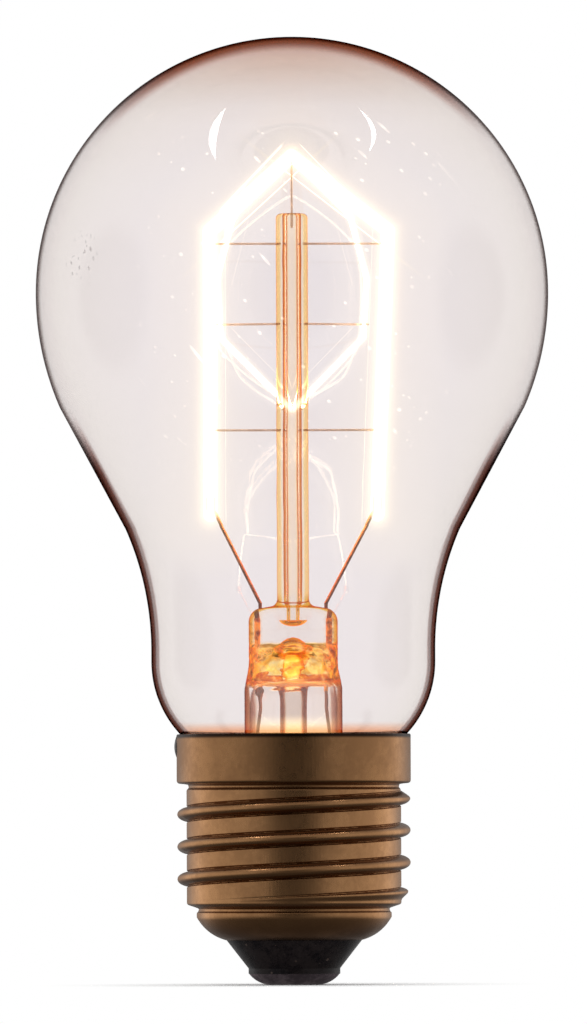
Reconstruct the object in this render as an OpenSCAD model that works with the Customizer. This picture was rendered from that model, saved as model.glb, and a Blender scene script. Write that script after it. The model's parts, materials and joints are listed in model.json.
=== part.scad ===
// Clear glass filament lamp with a screw cap, upright on its centre contact.
// The origin is the middle of the contact's lowest face, +Z runs up the lamp's axis to the globe.

/* [Glass bulb] */
// Greatest diameter of the bulb
bulb_d = 57.6; // [55:0.2:61]
// Radius of the curve just below the widest point
lower_globe_r = 32; // [30:0.5:36]
// Slope of the bulb's shoulders off the vertical, in degrees
shoulder_slope = 29.5; // [27:0.5:32]
// Radius of the hollow curve above the neck
neck_curve_r = 34; // [30:1:38]
// Diameter of the neck
neck_d = 31.9; // [30.5:0.1:33]
// Height of the straight part of the neck
neck_straight = 1.3; // [0.5:0.1:3]
// Radius of the curve that draws the neck in to the cap
neck_foot_r = 12; // [11:0.25:13]
// Diameter of the neck's stub inside the cap
stub_d = 21.6; // [21:0.1:22]
// How far the stub reaches down into the cap
stub_depth = 8.6; // [8:0.1:10]
// Radius of the hollow where the stub meets the neck
stub_fillet_r = 1.5; // [1.2:0.1:2]
// Wall of the blown glass
bulb_wall = 0.7; // [0.5:0.05:0.9]

/* [Glass stem] */
// Diameter of the flare tube
flare_d = 11; // [10.6:0.1:12]
// Wall of the flare tube
flare_wall = 0.9; // [0.7:0.05:1]
// Height of the flare tube from the stub's end to the press
flare_h = 15.5; // [14:0.25:18]
// Radius of the curve with which the flare tube opens
flare_curve_r = 3; // [2:0.1:3.2]
// Height of the flare's straight lip inside the stub
flare_lip_h = 2; // [1:0.25:3]
// Rounding of the flare tube's upper edge
flare_edge_r = 0.5; // [0.3:0.05:0.6]
// Thickness of the press between its flat faces
press_t = 4.8; // [4.4:0.1:6]
// Height of the press above the flare tube
press_h = 7.3; // [7:0.1:9]
// Height over which the press widens from its flat faces to the round tube
press_blend_h = 4; // [3:0.25:5]
// How far the press bulges on the way from its flat faces to the round tube
press_bulge = 0.6; // [0.4:0.05:0.7]
// Rounding of the upper corners of the press, seen from the front
press_corner_r = 1.6; // [1:0.1:2]
// Rounding of the upper edges of the press, seen from the side
press_edge_r = 1; // [0.5:0.1:1.5]
// How far the press reaches down into the flare tube
press_plug_h = 1; // [0.5:0.1:1.5]
// Diameter of the hollow that the exhaust tube opens into
vent_bulb_d = 2.9; // [2.4:0.1:3.2]
// Height of that hollow's middle above the flare tube
vent_z = 2.4; // [2:0.1:2.6]
// Diameter of the exhaust hole in the press's front
vent_d = 2; // [1.6:0.1:2.2]
// Diameter of the exhaust tube
exhaust_d = 3; // [2.6:0.1:3.4]
// Wall of the exhaust tube
exhaust_wall = 0.6; // [0.5:0.05:0.7]
// Length of the exhaust tube below the press
exhaust_l = 20.5; // [18:0.5:21]
// Length of its pinched-off tip
exhaust_tip_l = 3; // [2.4:0.2:4]
// Diameter of the centre post
post_d = 3.6; // [3.2:0.1:4]
// Bore of the centre post
post_bore_d = 1.2; // [1:0.1:1.4]
// Height of the post above the press
post_h = 44.3; // [42:0.1:46]
// How far the post's foot is sunk in the press
post_sunk = 2.1; // [1.5:0.1:2.4]

/* [Filament] */
// Diameter of the coiled filament
coil_d = 0.45; // [0.35:0.05:0.5]
// Height of the filament's peak above the post
peak_rise = 6.4; // [5:0.1:8]
// How far the filament's shoulders lie below the top of the post
shoulder_drop = 2; // [1:0.1:3]
// Distance of the left outer strand from the axis
left_strand_x = 9.2; // [8.6:0.1:10]
// Distance of the right outer strand's shoulder from the axis
right_strand_x = 10.8; // [10.2:0.1:11.5]
// Distance of the right outer strand's lower end from the axis
right_strand_foot_x = 9.5; // [9:0.1:10]
// Distance of the inner strands from the axis
inner_strand_x = 8; // [7.4:0.1:8.4]
// How much the inner strands bow outwards halfway up
inner_bow = 0.4; // [0.1:0.1:0.5]
// How far above their middle the inner strands bow most
inner_bow_rise = 0.7; // [0:0.1:1]
// Distance of the inner strands' upper corners from the axis
inner_top_x = 6.56; // [6:0.02:7]
// How far those upper corners lie above the outer strands' shoulders
inner_top_rise = 1.7; // [1.4:0.1:2]
// How far the inner strands lie behind the outer ones
inner_depth = 2.5; // [2:0.1:3.2]
// Height of the inner strands' lower corners above the press
inner_corner_z = 30.3; // [29:0.1:31.5]
// Height of the inner loop's lowest point above the press
loop_bottom_z = 22.2; // [21.5:0.1:23]
// Distance of the inner loop's lowest point behind the post
loop_gap = 1.2; // [1:0.1:1.6]
// Distance over which the filament rounds its corners
corner_reach = 1; // [0.6:0.1:1.2]

/* [Support wires] */
// Diameter of the support wires
support_d = 0.25; // [0.2:0.01:0.3]
// Play between a hook and the filament
hook_gap = 0.1; // [0.08:0.01:0.15]
// Turn of each hook around the filament, in degrees
hook_turn = 265; // [230:5:275]
// How deep the support wires are sunk in the post
support_sunk = 0.9; // [0.6:0.05:1]
// How deep the two upright supports are sunk in the post
top_sunk = 1.6; // [1:0.1:2.5]
// How far the upper hooks hold below the filament's shoulders
upper_hook_drop = 1.4; // [1.2:0.1:2]
// How far the middle hooks hold above the inner corners
middle_hook_rise = 1.6; // [1.3:0.1:2.2]
// Height of the lower hooks above the press
lower_hook_z = 19.9; // [18.5:0.1:21]

/* [Lead wires] */
// Diameter of the inner lead wires
lead_d = 0.4; // [0.34:0.02:0.48]
// Distance of the leads from the axis where they leave the press
lead_x = 3.7; // [3.4:0.05:3.8]
// Height of the leads' tips above the press
lead_rise = 10.9; // [9.5:0.1:12]
// Height of the leads' first bend above the press
lead_bend = 0.5; // [0.4:0.1:1]
// How deep the inner leads are sunk in the press
lead_sunk = 1.3; // [1:0.1:1.6]
// Diameter of the clamp folded around the filament's end
clamp_d = 1.1; // [0.9:0.05:1.3]
// Length of that clamp
clamp_l = 1.5; // [1:0.1:2]
// Play between clamp and filament
clamp_gap = 0.03; // [0.02:0.01:0.05]
// How far the filament's end shows below its clamp
filament_tail = 0.5; // [0.2:0.1:1]
// Diameter of the copper-clad wires sealed in the press
seal_d = 0.5; // [0.4:0.02:0.54]
// How far the sealed wires show below the press
seal_tail = 1; // [0.6:0.1:1.5]
// Diameter of the outer lead wires
outer_lead_d = 0.4; // [0.3:0.02:0.44]

/* [Screw cap] */
// Diameter over the crests of the screw thread
crest_d = 26.2; // [26.05:0.05:26.45]
// Diameter at the roots of the screw thread
root_d = 24.1; // [24:0.02:24.26]
// Pitch of the screw thread, seven turns to the inch
pitch = 3.629; // [3.6:0.001:3.66]
// Height of a crest on the left side, halfway up the thread
crest_z = 15.52; // [15.2:0.02:15.8]
// Height over which the thread fades out at each end
thread_fade = 1.5; // [1:0.1:1.8]
// Diameter of the skirt above the thread
skirt_d = 26.3; // [26.2:0.05:26.5]
// Height of the skirt's rim above the foot
rim_z = 28.15; // [28:0.05:28.8]
// Height of the skirt's lower edge above the foot
skirt_z = 22.6; // [22.5:0.05:22.9]
// Rounding of the skirt's lower edge
skirt_edge = 0.35; // [0.3:0.05:0.5]
// Wall of the pressed brass shell
shell_wall = 0.3; // [0.25:0.01:0.34]
// Height of the thread's lower end above the foot
thread_z = 9.3; // [9.2:0.05:9.5]
// Diameter of the rounded lip below the thread
lip_d = 21.9; // [21.5:0.1:22.2]
// Height of the lip's upper edge above the foot
lip_z = 8.2; // [8:0.05:8.4]
// How far the lip's underside bulges
lip_bulge = 0.45; // [0.3:0.05:0.6]
// Height of the lip's upright edge
lip_edge = 0.6; // [0.4:0.05:0.8]
// Depth and height of the groove above the lip
lip_groove = 0.25; // [0.15:0.05:0.3]
// Diameter of the hole in the shell's bottom
shell_hole_d = 15.2; // [14.8:0.1:15.6]
// Height of the shell's bottom edge above the foot
shell_bottom_z = 5; // [4.8:0.05:5.2]
// Play between the shell's rim and the glass
rim_gap = 0.1; // [0.05:0.01:0.15]
// Height of the cement ring
cement_h = 4; // [3:0.1:4.2]
// Width of the groove in the cement for the shell's lead
groove_w = 1; // [0.8:0.05:1.2]

/* [Contact] */
// Diameter of the centre contact
contact_d = 10.2; // [9.8:0.1:10.6]
// Height of the centre contact
contact_h = 1.25; // [1.1:0.05:1.4]
// Diameter of the flat on the contact's foot
contact_flat_d = 5.2; // [4.8:0.1:5.6]
// Wall of the centre contact
contact_wall = 0.35; // [0.3:0.05:0.45]
// Height of the short upright part of the insulator above the contact
insulator_step = 0.6; // [0.4:0.1:0.8]
// How far the insulator stands out past the contact
insulator_ledge = 0.05; // [0.02:0.01:0.1]
// Bore of the insulator
insulator_bore_d = 2.4; // [2.2:0.1:2.8]
// Diameter of the hollow in the insulator's top
insulator_hollow_d = 6.4; // [5:0.2:8]
// Depth of that hollow
insulator_hollow_h = 1; // [0.6:0.1:1.4]
// Height of the insulator's top inside the cap
insulator_top_z = 8; // [7.6:0.05:8]
// Diameter of the eyelet's hole
eyelet_d = 1.4; // [1.2:0.1:1.5]
// Height of the eyelet inside the insulator
eyelet_h = 2.6; // [2:0.1:3]
// Depth of the solder in the eyelet
solder_h = 1.2; // [0.8:0.1:1.6]
// Thickness of the solder under the end of the contact's lead
solder_skin = 0.5; // [0.3:0.05:0.6]
// Diameter of the solder bead on the left of the skirt
bead_d = 2.4; // [1.8:0.1:2.5]
// How far that bead stands out of the skirt
bead_h = 0.25; // [0.15:0.01:0.3]
// Height of the bead's middle below the rim
bead_drop = 1.4; // [1.35:0.05:1.5]

/* [Hidden] */
$fn = 96;

glass_tint = [0.93, 0.9, 0.9, 0.35];
copper_tint = [0.72, 0.42, 0.28];
brass_tint = [0.62, 0.47, 0.29];

// Radii
bulb_r = bulb_d / 2;
neck_r = neck_d / 2;
stub_r = stub_d / 2;
flare_r = flare_d / 2;
post_r = post_d / 2;
coil_r = coil_d / 2;
support_r = support_d / 2;
lead_r = lead_d / 2;
seal_r = seal_d / 2;
outer_lead_r = outer_lead_d / 2;
crest_r = crest_d / 2;
root_r = root_d / 2;
skirt_r = skirt_d / 2;
skirt_in_r = skirt_r - shell_wall;
lip_r = lip_d / 2;
shell_hole_r = shell_hole_d / 2;
exhaust_r = exhaust_d / 2;
exhaust_bore_r = exhaust_r - exhaust_wall;
contact_r = contact_d / 2;
contact_flat_r = contact_flat_d / 2;
eyelet_r = eyelet_d / 2;
insulator_bore_r = insulator_bore_d / 2;

// The neck's foot curve passes the rim with rim_gap to spare
foot_x = neck_r - neck_foot_r;
foot_z = rim_z + sqrt(pow(neck_foot_r, 2) - pow(skirt_in_r - rim_gap - foot_x, 2));
fillet_x = stub_r + stub_fillet_r;
fillet_z = foot_z - sqrt(pow(neck_foot_r + stub_fillet_r, 2) - pow(fillet_x - foot_x, 2));
fillet_angle = atan2(foot_z - fillet_z, foot_x - fillet_x);

// Heights up the bulb, from the neck's foot to the widest point
curve_z = foot_z + neck_straight;
slope_low = [neck_r + neck_curve_r * (1 - cos(shoulder_slope)), curve_z + neck_curve_r * sin(shoulder_slope)];
slope_high_r = bulb_r - lower_globe_r * (1 - cos(shoulder_slope));
slope_high_z = slope_low[1] + (slope_high_r - slope_low[0]) / tan(shoulder_slope);
globe_z = slope_high_z + lower_globe_r * sin(shoulder_slope);

// Heights up the stem
stub_z = rim_z - stub_depth;
flare_top_z = stub_z + flare_h;
press_top_z = flare_top_z + press_h;
press_bottom_z = flare_top_z - press_plug_h;
press_r = flare_r - flare_edge_r;
plug_r = flare_r - flare_wall;
post_top_z = press_top_z + post_h;
vent_middle_z = flare_top_z + vent_z;
flare_lip_r = stub_r - bulb_wall;
flare_turn_r = flare_wall + 0.2;
flare_turn_z = stub_z + flare_lip_h;
flare_curve_z = flare_turn_z + flare_turn_r + flare_curve_r;

// The filament's corners
peak_z = post_top_z + peak_rise;
shoulder_z = post_top_z - shoulder_drop;
hook_y = (post_r + post_bore_d / 2) / 2;
tip_z = press_top_z + lead_rise;
corner_z = press_top_z + inner_corner_z;
loop_y = post_r + loop_gap;
loop_z = press_top_z + loop_bottom_z;
inner_mid_z = (corner_z + shoulder_z) / 2 + inner_bow_rise;
inner_top_z = shoulder_z + inner_top_rise;
left_foot = [-left_strand_x, 0, tip_z - filament_tail];
left_shoulder = [-left_strand_x, 0, shoulder_z];
back_peak = [0, hook_y, peak_z];
front_peak = [0, -hook_y, peak_z];
loop_bottom = [0, loop_y, loop_z];
right_shoulder = [right_strand_x, 0, shoulder_z];
right_foot = [right_strand_foot_x, 0, tip_z - filament_tail];
right_inner = [[inner_top_x, inner_depth, inner_top_z], [inner_strand_x + inner_bow, inner_depth, inner_mid_z],
    [inner_strand_x, inner_depth, corner_z]];
left_inner = [for (p = reversed(right_inner)) [-p[0], p[1], p[2]]];
filament_corners = concat([left_foot, left_shoulder, back_peak], right_inner, [loop_bottom], left_inner,
    [front_peak, right_shoulder, right_foot]);

// Hooks: where each support wire holds the filament
hook_r = coil_r + hook_gap + support_r;
lower_z = press_top_z + lower_hook_z;
upper_z = shoulder_z - upper_hook_drop;
middle_z = corner_z + middle_hook_rise;
back_hold = rounded_middle(filament_corners, 2, corner_reach);
front_hold = rounded_middle(filament_corners, 10, corner_reach);
loop_hold = rounded_middle(filament_corners, 6, corner_reach);

// The shell's lead goes under the stub and up to the bead, the contact's lead runs down to the eyelet
groove_x = (stub_r + root_r - shell_wall) / 2;
bead_z = rim_z - bead_drop;
seal_end_z = press_bottom_z - seal_tail;
lead_turn_z = seal_end_z - 2;
lead_low_z = stub_z + 4;
lead_spread_x = 4.1;
loop_low_z = stub_z - 1.7;
rise_x = skirt_in_r - outer_lead_r - 0.2;
shell_lead_route = [[-lead_x, 0, seal_end_z], [-lead_x, 0, lead_turn_z], [-lead_spread_x, 0, lead_turn_z - 3],
    [-lead_spread_x, 0, lead_low_z], [-6.5, 0, stub_z + 0.3], [-8.5, 0, loop_low_z + 0.5],
    [1.1 - groove_x, 0, loop_low_z], [-groove_x, 0, loop_low_z + 1], [-groove_x, 0, bead_z - 2.2],
    [-rise_x, 0, bead_z - 0.6], [-rise_x, 0, bead_z], [-skirt_r - bead_h / 4, 0, bead_z]];
contact_lead_route = [[lead_x, 0, seal_end_z], [lead_x, 0, lead_turn_z], [lead_spread_x, 0, lead_turn_z - 3],
    [3.4, 0, stub_z + 0.5], [2.6, 0, 13.5], [0, 0, 10], [0, 0, solder_skin]];

// Cap heights where the plain and the threaded parts of the shell meet
seat_h = 0.25;
thread_top_z = skirt_z - shell_wall;
seat_lap = 0.1;
cement_z = skirt_z + skirt_edge + seat_lap;
seat_play = 0.08;

// The contact's dish is an arc that starts flat at the foot and ends at the contact's rim
dish_reach = contact_r - contact_flat_r;
dish_r = (pow(dish_reach, 2) + pow(contact_h, 2)) / (2 * contact_h);
dish_turn = asin(dish_reach / dish_r);

// A bend in a wire is a knuckle, a little thicker than the wire
knuckle = 0.012;
knuckle_gap = 0.03;

function unit(v) = v / norm(v);

// Points of an arc, from angle a to angle b
function arc(c, r, a, b, n) = [for (i = [0 : n]) let (t = a + (b - a) * i / n) c + r * [cos(t), sin(t)]];

// Points of a shallow arc from p to q that stands off the chord by rise, to the right of the way
function bow(p, q, rise, n = 8) =
    let (
        chord = norm(q - p),
        r = chord * chord / (8 * rise) + rise / 2,
        way = (q - p) / chord,
        c = (p + q) / 2 - [way[1], -way[0]] * (r - rise),
        half = asin(chord / (2 * r)),
        middle = atan2(-way[0], way[1])
    )
    arc(c, r, middle - half, middle + half, n);

function reversed(list) = [for (i = [len(list) - 1 : -1 : 0]) list[i]];

// A corner of a path, rounded from d before it to d after it
function corner(a, p, c, d, n) =
    let (from = p + unit(a - p) * d, to = p + unit(c - p) * d)
    [for (i = [0 : n]) let (t = i / n) from * pow(1 - t, 2) + p * 2 * t * (1 - t) + to * pow(t, 2)];

// A path with all its inner corners rounded
function rounded(path, d, n = 4) =
    [path[0], for (i = [1 : len(path) - 2]) each corner(path[i - 1], path[i], path[i + 1], d, n),
        path[len(path) - 1]];

// Where a rounded path passes its corner number i
function rounded_middle(path, i, d) = corner(path[i - 1], path[i], path[i + 1], d, 2)[1];

// Where a straight stretch from p to q passes height z
function at_height(p, q, z) = p + (q - p) * (z - p[2]) / (q[2] - p[2]);

// The bulb's outline from the stub's end to the crown, set w into the glass
function bulb_outline(w) = concat(
    [[stub_r - w, stub_z]],
    arc([fillet_x, fillet_z], stub_fillet_r + w, 180, fillet_angle, 4),
    arc([foot_x, foot_z], neck_foot_r - w, fillet_angle - 180, 0, 12),
    arc([neck_r + neck_curve_r, curve_z], neck_curve_r + w, 180, 180 - shoulder_slope, 12),
    arc([bulb_r - lower_globe_r, globe_z], lower_globe_r - w, -shoulder_slope, 0, 12),
    arc([0, globe_z], bulb_r - w, 3.75, 90, 23));

// The flare tube's outline from its lip to below the upper edge, set w into the glass
function flare_outline(w) = concat(
    [[flare_lip_r - w, stub_z]],
    arc([flare_lip_r - flare_turn_r, flare_turn_z], flare_turn_r - w, 0, 90, 6),
    arc([flare_r + flare_curve_r, flare_curve_z], flare_curve_r + w, 270, 180, 10));

// Radius of the screw thread at height z and angle a, for the shell's surface at depth w in the wall.
// Crest and root are arcs of one radius that meet in a tangent.
thread_depth = crest_r - root_r;
thread_arc_r = (pow(pitch / 2, 2) + pow(thread_depth, 2)) / (4 * thread_depth);
function thread_r(z, a, w) =
    let (
        turns = (z - crest_z) / pitch - (a - 180) / 360,
        u = abs(turns - round(turns)) * pitch,
        meet = pitch / 2 * (thread_arc_r - w) / (2 * thread_arc_r),
        v = pitch / 2 - u,
        full = u < meet ? crest_r - thread_arc_r + sqrt(pow(thread_arc_r - w, 2) - u * u)
            : root_r + thread_arc_r - sqrt(pow(thread_arc_r + w, 2) - v * v),
        fade = min(1, max(0, min(z - thread_z, thread_top_z - z) / thread_fade)),
        ease = fade * fade * (3 - 2 * fade)
    )
    root_r - w + (full - root_r + w) * ease;

// One ring of points of the threaded wall
function thread_ring(z, w, sides) =
    [for (k = [0 : sides - 1]) let (a = 360 * k / sides, r = thread_r(z, a, w)) [r * cos(a), r * sin(a), z]];

// The lip's curve under the shell, at depth w in the wall
function lip_curve(w) = bow([shell_hole_r, shell_bottom_z + w], [lip_r - w, lip_z - lip_edge], lip_bulge);

// A closed tube along a path, with its sides kept square to ref
module tube_along(path, r, ref, sides = 8) {
    rings = len(path);
    points = [for (i = [0 : rings - 1])
        let (
            way = unit(path[min(i + 1, rings - 1)] - path[max(i - 1, 0)]),
            u = unit(cross(way, ref)),
            v = cross(u, way)
        )
        for (k = [0 : sides - 1]) path[i] + r * (cos(360 * k / sides) * u + sin(360 * k / sides) * v)];
    walls = [for (i = [0 : rings - 2], k = [0 : sides - 1])
        let (a = i * sides + k, b = i * sides + (k + 1) % sides)
        each [[a, b, b + sides], [a, b + sides, a + sides]]];
    ends = [[for (k = [sides - 1 : -1 : 0]) k], [for (k = [0 : sides - 1]) (rings - 1) * sides + k]];
    polyhedron(points, concat(walls, ends));
}

// A straight round bar from p to q
module bar(p, q, r) {
    d = q - p;
    translate(p)
        rotate([0, acos(d[2] / norm(d)), atan2(d[1], d[0])])
            cylinder(r = r, h = norm(d));
}

// A straight wire from x = root that curls into a hook around x = reach. A small knuckle joins the two.
module hook_wire(root, reach) {
    run = reach - root;
    lean = asin(hook_r / run);
    gap_turn = asin(knuckle_gap / hook_r);
    hook_root(root, reach);
    translate([reach, 0, 0]) {
        rotate([0, 0, 90 + lean - hook_turn])
            rotate_extrude(angle = hook_turn - gap_turn, $fn = 48)
                translate([hook_r, 0])
                    circle(r = support_r, $fn = 24);
        rotate([0, 0, 90 + lean])
            translate([hook_r, 0, 0])
                sphere(r = support_r + knuckle, $fn = 24);
    }
}

// The straight part of that wire
module hook_root(root, reach) {
    run = reach - root;
    translate([root, 0, 0])
        rotate([0, 0, asin(hook_r / run)])
            rotate([0, 90, 0])
                cylinder(r = support_r, h = sqrt(run * run - hook_r * hook_r) - knuckle_gap, $fn = 24);
}

// Turns a wire drawn along x towards a point beside the post, rolled about its own length
module towards(p, roll = 0) {
    translate([0, 0, p[2]])
        rotate([0, 0, atan2(p[1], p[0])])
            rotate([roll, 0, 0])
                children();
}

// Turns a wire drawn along x upright, at y from the axis
module upright(y) {
    translate([0, y, 0])
        rotate([0, -90, 0])
            children();
}

left_inner_hold = at_height(filament_corners[8], filament_corners[7], middle_z);
right_inner_hold = at_height(filament_corners[4], filament_corners[5], middle_z);
left_outer_hold = at_height(left_foot, left_shoulder, upper_z);
right_outer_hold = at_height(right_foot, right_shoulder, upper_z);
left_lower_hold = at_height(left_foot, left_shoulder, lower_z);
right_lower_hold = at_height(right_foot, right_shoulder, lower_z);
side_holds = [left_outer_hold, right_outer_hold, left_inner_hold, right_inner_hold,
    left_lower_hold, right_lower_hold];
support_root = post_r - support_sunk;

module side_support(hold) {
    color("sienna")
        towards(hold)
            hook_wire(support_root, norm([hold[0], hold[1]]));
}

module top_support(hold) {
    color("sienna")
        upright(hold[1])
            hook_wire(post_top_z - top_sunk, hold[2]);
}

module support_upper_left() { side_support(left_outer_hold); }
module support_upper_right() { side_support(right_outer_hold); }
module support_middle_left() { side_support(left_inner_hold); }
module support_middle_right() { side_support(right_inner_hold); }
module support_lower_left() { side_support(left_lower_hold); }
module support_lower_right() { side_support(right_lower_hold); }
module support_top_front() { top_support(front_hold); }
module support_top_back() { top_support(back_hold); }

module support_back() {
    color("sienna")
        towards(loop_hold, 90)
            hook_wire(support_root, loop_hold[1]);
}

module glass_bulb() {
    color(glass_tint)
        rotate_extrude()
            polygon(concat(bulb_outline(0), reversed(bulb_outline(bulb_wall))));
}

module stem_flare() {
    edge = arc([flare_r - flare_edge_r, flare_top_z - flare_edge_r], flare_edge_r, 0, 90, 4);
    color(glass_tint)
        rotate_extrude()
            polygon(concat(flare_outline(0), edge, [[plug_r, flare_top_z]], reversed(flare_outline(flare_wall))));
}

module stem_press() {
    color(glass_tint)
        difference() {
            union() {
                press_block();
                translate([0, 0, press_bottom_z])
                    cylinder(r = plug_r, h = press_plug_h);
            }
            for (side = [-1, 1]) {
                translate([side * lead_x, 0, press_bottom_z - 1])
                    cylinder(r = seal_r, h = press_top_z, $fn = 32);
                translate([side * lead_x, 0, press_top_z - lead_sunk])
                    cylinder(r = lead_r, h = press_h, $fn = 32);
            }
            translate([0, 0, press_top_z - post_sunk])
                cylinder(r = post_r, h = press_h);
            translate([0, 0, press_bottom_z - 1])
                cylinder(r = exhaust_bore_r, h = vent_middle_z - press_bottom_z + 1, $fn = 48);
            translate([0, 0, vent_middle_z])
                sphere(d = vent_bulb_d, $fn = 48);
            translate([0, 0, vent_middle_z])
                rotate([90, 0, 0])
                    cylinder(d = vent_d, h = flare_d, $fn = 48);
        }
}

// The press: its front outline and its side outline, both within the round tube's width
module press_block() {
    half_t = press_t / 2;
    front_side = arc([press_r - press_corner_r, press_top_z - press_corner_r], press_corner_r, 0, 90, 8);
    front_half = concat([[press_r + 1, flare_top_z], [press_r, flare_top_z]], front_side);
    blend = bow([half_t, flare_top_z + press_blend_h], [press_r, flare_top_z], press_bulge);
    side_top = arc([half_t - press_edge_r, press_top_z - press_edge_r], press_edge_r, 0, 90, 6);
    side_half = concat(reversed(blend), side_top);
    intersection() {
        translate([0, 0, flare_top_z])
            cylinder(r = press_r, h = press_h + 1);
        rotate([90, 0, 0])
            linear_extrude(height = flare_d + 2, center = true)
                polygon(concat(front_half, reversed([for (p = front_half) [-p[0], p[1]]])));
        rotate([90, 0, 90])
            linear_extrude(height = flare_d + 2, center = true)
                polygon(concat(side_half, reversed([for (p = side_half) [-p[0], p[1]]])));
    }
}

// The tube closes in a rounded cone, outside and inside
module exhaust_tube() {
    tip_z = press_bottom_z - exhaust_l;
    cone_z = tip_z + exhaust_tip_l;
    outside = bow([0, tip_z], [exhaust_r, cone_z], exhaust_r / 4);
    inside = bow([0, tip_z + exhaust_tip_l / 2], [exhaust_bore_r, cone_z + exhaust_wall], exhaust_bore_r / 4);
    color(glass_tint)
        rotate_extrude($fn = 48)
            polygon(concat(outside, [[exhaust_r, press_bottom_z], [exhaust_bore_r, press_bottom_z]],
                reversed(inside)));
}

module centre_post() {
    color(glass_tint)
        difference() {
            translate([0, 0, press_top_z - post_sunk])
                cylinder(r = post_r, h = post_h + post_sunk);
            translate([0, 0, press_top_z - post_sunk - 1])
                cylinder(d = post_bore_d, h = post_h + post_sunk + 2, $fn = 48);
            for (hold = side_holds)
                towards(hold)
                    hook_root(support_root, norm([hold[0], hold[1]]));
            towards(loop_hold, 90)
                hook_root(support_root, loop_hold[1]);
            for (hold = [front_hold, back_hold])
                upright(hold[1])
                    hook_root(post_top_z - top_sunk, hold[2]);
        }
}

module filament() {
    color("lightyellow")
        tube_along(rounded(filament_corners, corner_reach), coil_r, [0, 1, 0]);
}

// One inner lead: out of the press, bent towards the filament's end and folded around it
module inner_lead(side, foot, shoulder) {
    way = unit(shoulder - foot);
    clamp_foot = foot + way * filament_tail;
    clamp_middle = clamp_foot + way * clamp_l / 2;
    bend = [side * lead_x, 0, press_top_z + lead_bend];
    color("silver")
        difference() {
            union() {
                bar([side * lead_x, 0, press_top_z - lead_sunk], bend, lead_r);
                bar(bend, clamp_middle, lead_r);
                translate(bend)
                    sphere(r = lead_r + knuckle, $fn = 32);
                bar(clamp_foot, clamp_foot + way * clamp_l, clamp_d / 2);
            }
            bar(foot - way, clamp_foot + way * clamp_l * 2, coil_r + clamp_gap);
        }
}

module inner_lead_left() { inner_lead(-1, left_foot, left_shoulder); }
module inner_lead_right() { inner_lead(1, right_foot, right_shoulder); }

module seal_wire(side) {
    color(copper_tint)
        translate([side * lead_x, 0, seal_end_z])
            cylinder(r = seal_r, h = press_top_z - lead_sunk - seal_end_z, $fn = 32);
}

module seal_wire_left() { seal_wire(-1); }
module seal_wire_right() { seal_wire(1); }

module outer_lead_shell() {
    color(copper_tint)
        tube_along(rounded(shell_lead_route, 0.25, 3), outer_lead_r, [0, 1, 0]);
}

module outer_lead_contact() {
    color(copper_tint)
        tube_along(rounded(contact_lead_route, 0.6, 3), outer_lead_r, [0, 1, 0]);
}

// The brass shell: threaded wall between the plain skirt and the plain lip
module screw_shell() {
    color(brass_tint)
        difference() {
            union() {
                threaded_wall();
                skirt();
                lip();
            }
            bar([-root_r, 0, bead_z], [-skirt_r - 1, 0, bead_z], bead_d / 2);
        }
}

module threaded_wall() {
    sides = 36;
    rows = 36;
    low = thread_z - seat_lap;
    high = thread_top_z + seat_lap;
    heights = [for (i = [0 : rows]) low + (high - low) * i / rows];
    loop = concat([for (z = heights) each thread_ring(z, 0, sides)],
        [for (z = reversed(heights)) each thread_ring(z, shell_wall, sides)]);
    rings = 2 * (rows + 1);
    polyhedron(loop, [for (i = [0 : rings - 1], k = [0 : sides - 1])
        let (
            a = i * sides + k,
            b = i * sides + (k + 1) % sides,
            c = ((i + 1) % rings) * sides + (k + 1) % sides,
            d = ((i + 1) % rings) * sides + k
        )
        each [[a, c, b], [a, d, c]]]);
}

module skirt() {
    in_r = root_r - shell_wall - seat_play;
    out_r = root_r + seat_play;
    rotate_extrude()
        polygon([[in_r, thread_top_z], [out_r, thread_top_z], [out_r, skirt_z],
            [skirt_r - skirt_edge, skirt_z], [skirt_r, skirt_z + skirt_edge], [skirt_r, rim_z],
            [skirt_in_r, rim_z], [skirt_in_r, cement_z],
            [skirt_in_r - skirt_edge, skirt_z + shell_wall], [in_r, skirt_z + shell_wall]]);
}

module lip() {
    in_r = root_r - shell_wall - seat_play;
    out_r = root_r + seat_play;
    groove_r = lip_r - lip_groove;
    rotate_extrude()
        polygon(concat(lip_curve(0), [[lip_r, lip_z], [groove_r, lip_z + lip_groove],
            [out_r, thread_z - seat_h], [out_r, thread_z], [in_r, thread_z], [in_r, thread_z - seat_h],
            [groove_r - shell_wall, lip_z + lip_groove], [lip_r - shell_wall, lip_z]],
            reversed(lip_curve(shell_wall))));
}

// The contact's dished underside, set w into the metal
function dish(w) = arc([contact_flat_r, dish_r], dish_r - w, -90, -90 + dish_turn, 8);

module cap_insulator() {
    inner_dish = dish(contact_wall);
    cone_foot_r = contact_r + insulator_ledge;
    floor_z = insulator_top_z - insulator_hollow_h;
    step_z = contact_h + insulator_step;
    color([0.06, 0.05, 0.06])
        difference() {
            rotate_extrude()
                polygon(concat([[0, contact_wall]], inner_dish,
                    [[contact_r, contact_h], [cone_foot_r, contact_h], [cone_foot_r, step_z],
                        [shell_hole_r, shell_bottom_z]],
                    lip_curve(shell_wall),
                    [[lip_r - shell_wall, insulator_top_z], [insulator_hollow_d / 2, floor_z], [0, floor_z]]));
            translate([0, 0, -1])
                cylinder(r = insulator_bore_r, h = insulator_top_z + 1, $fn = 48);
        }
}

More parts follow.
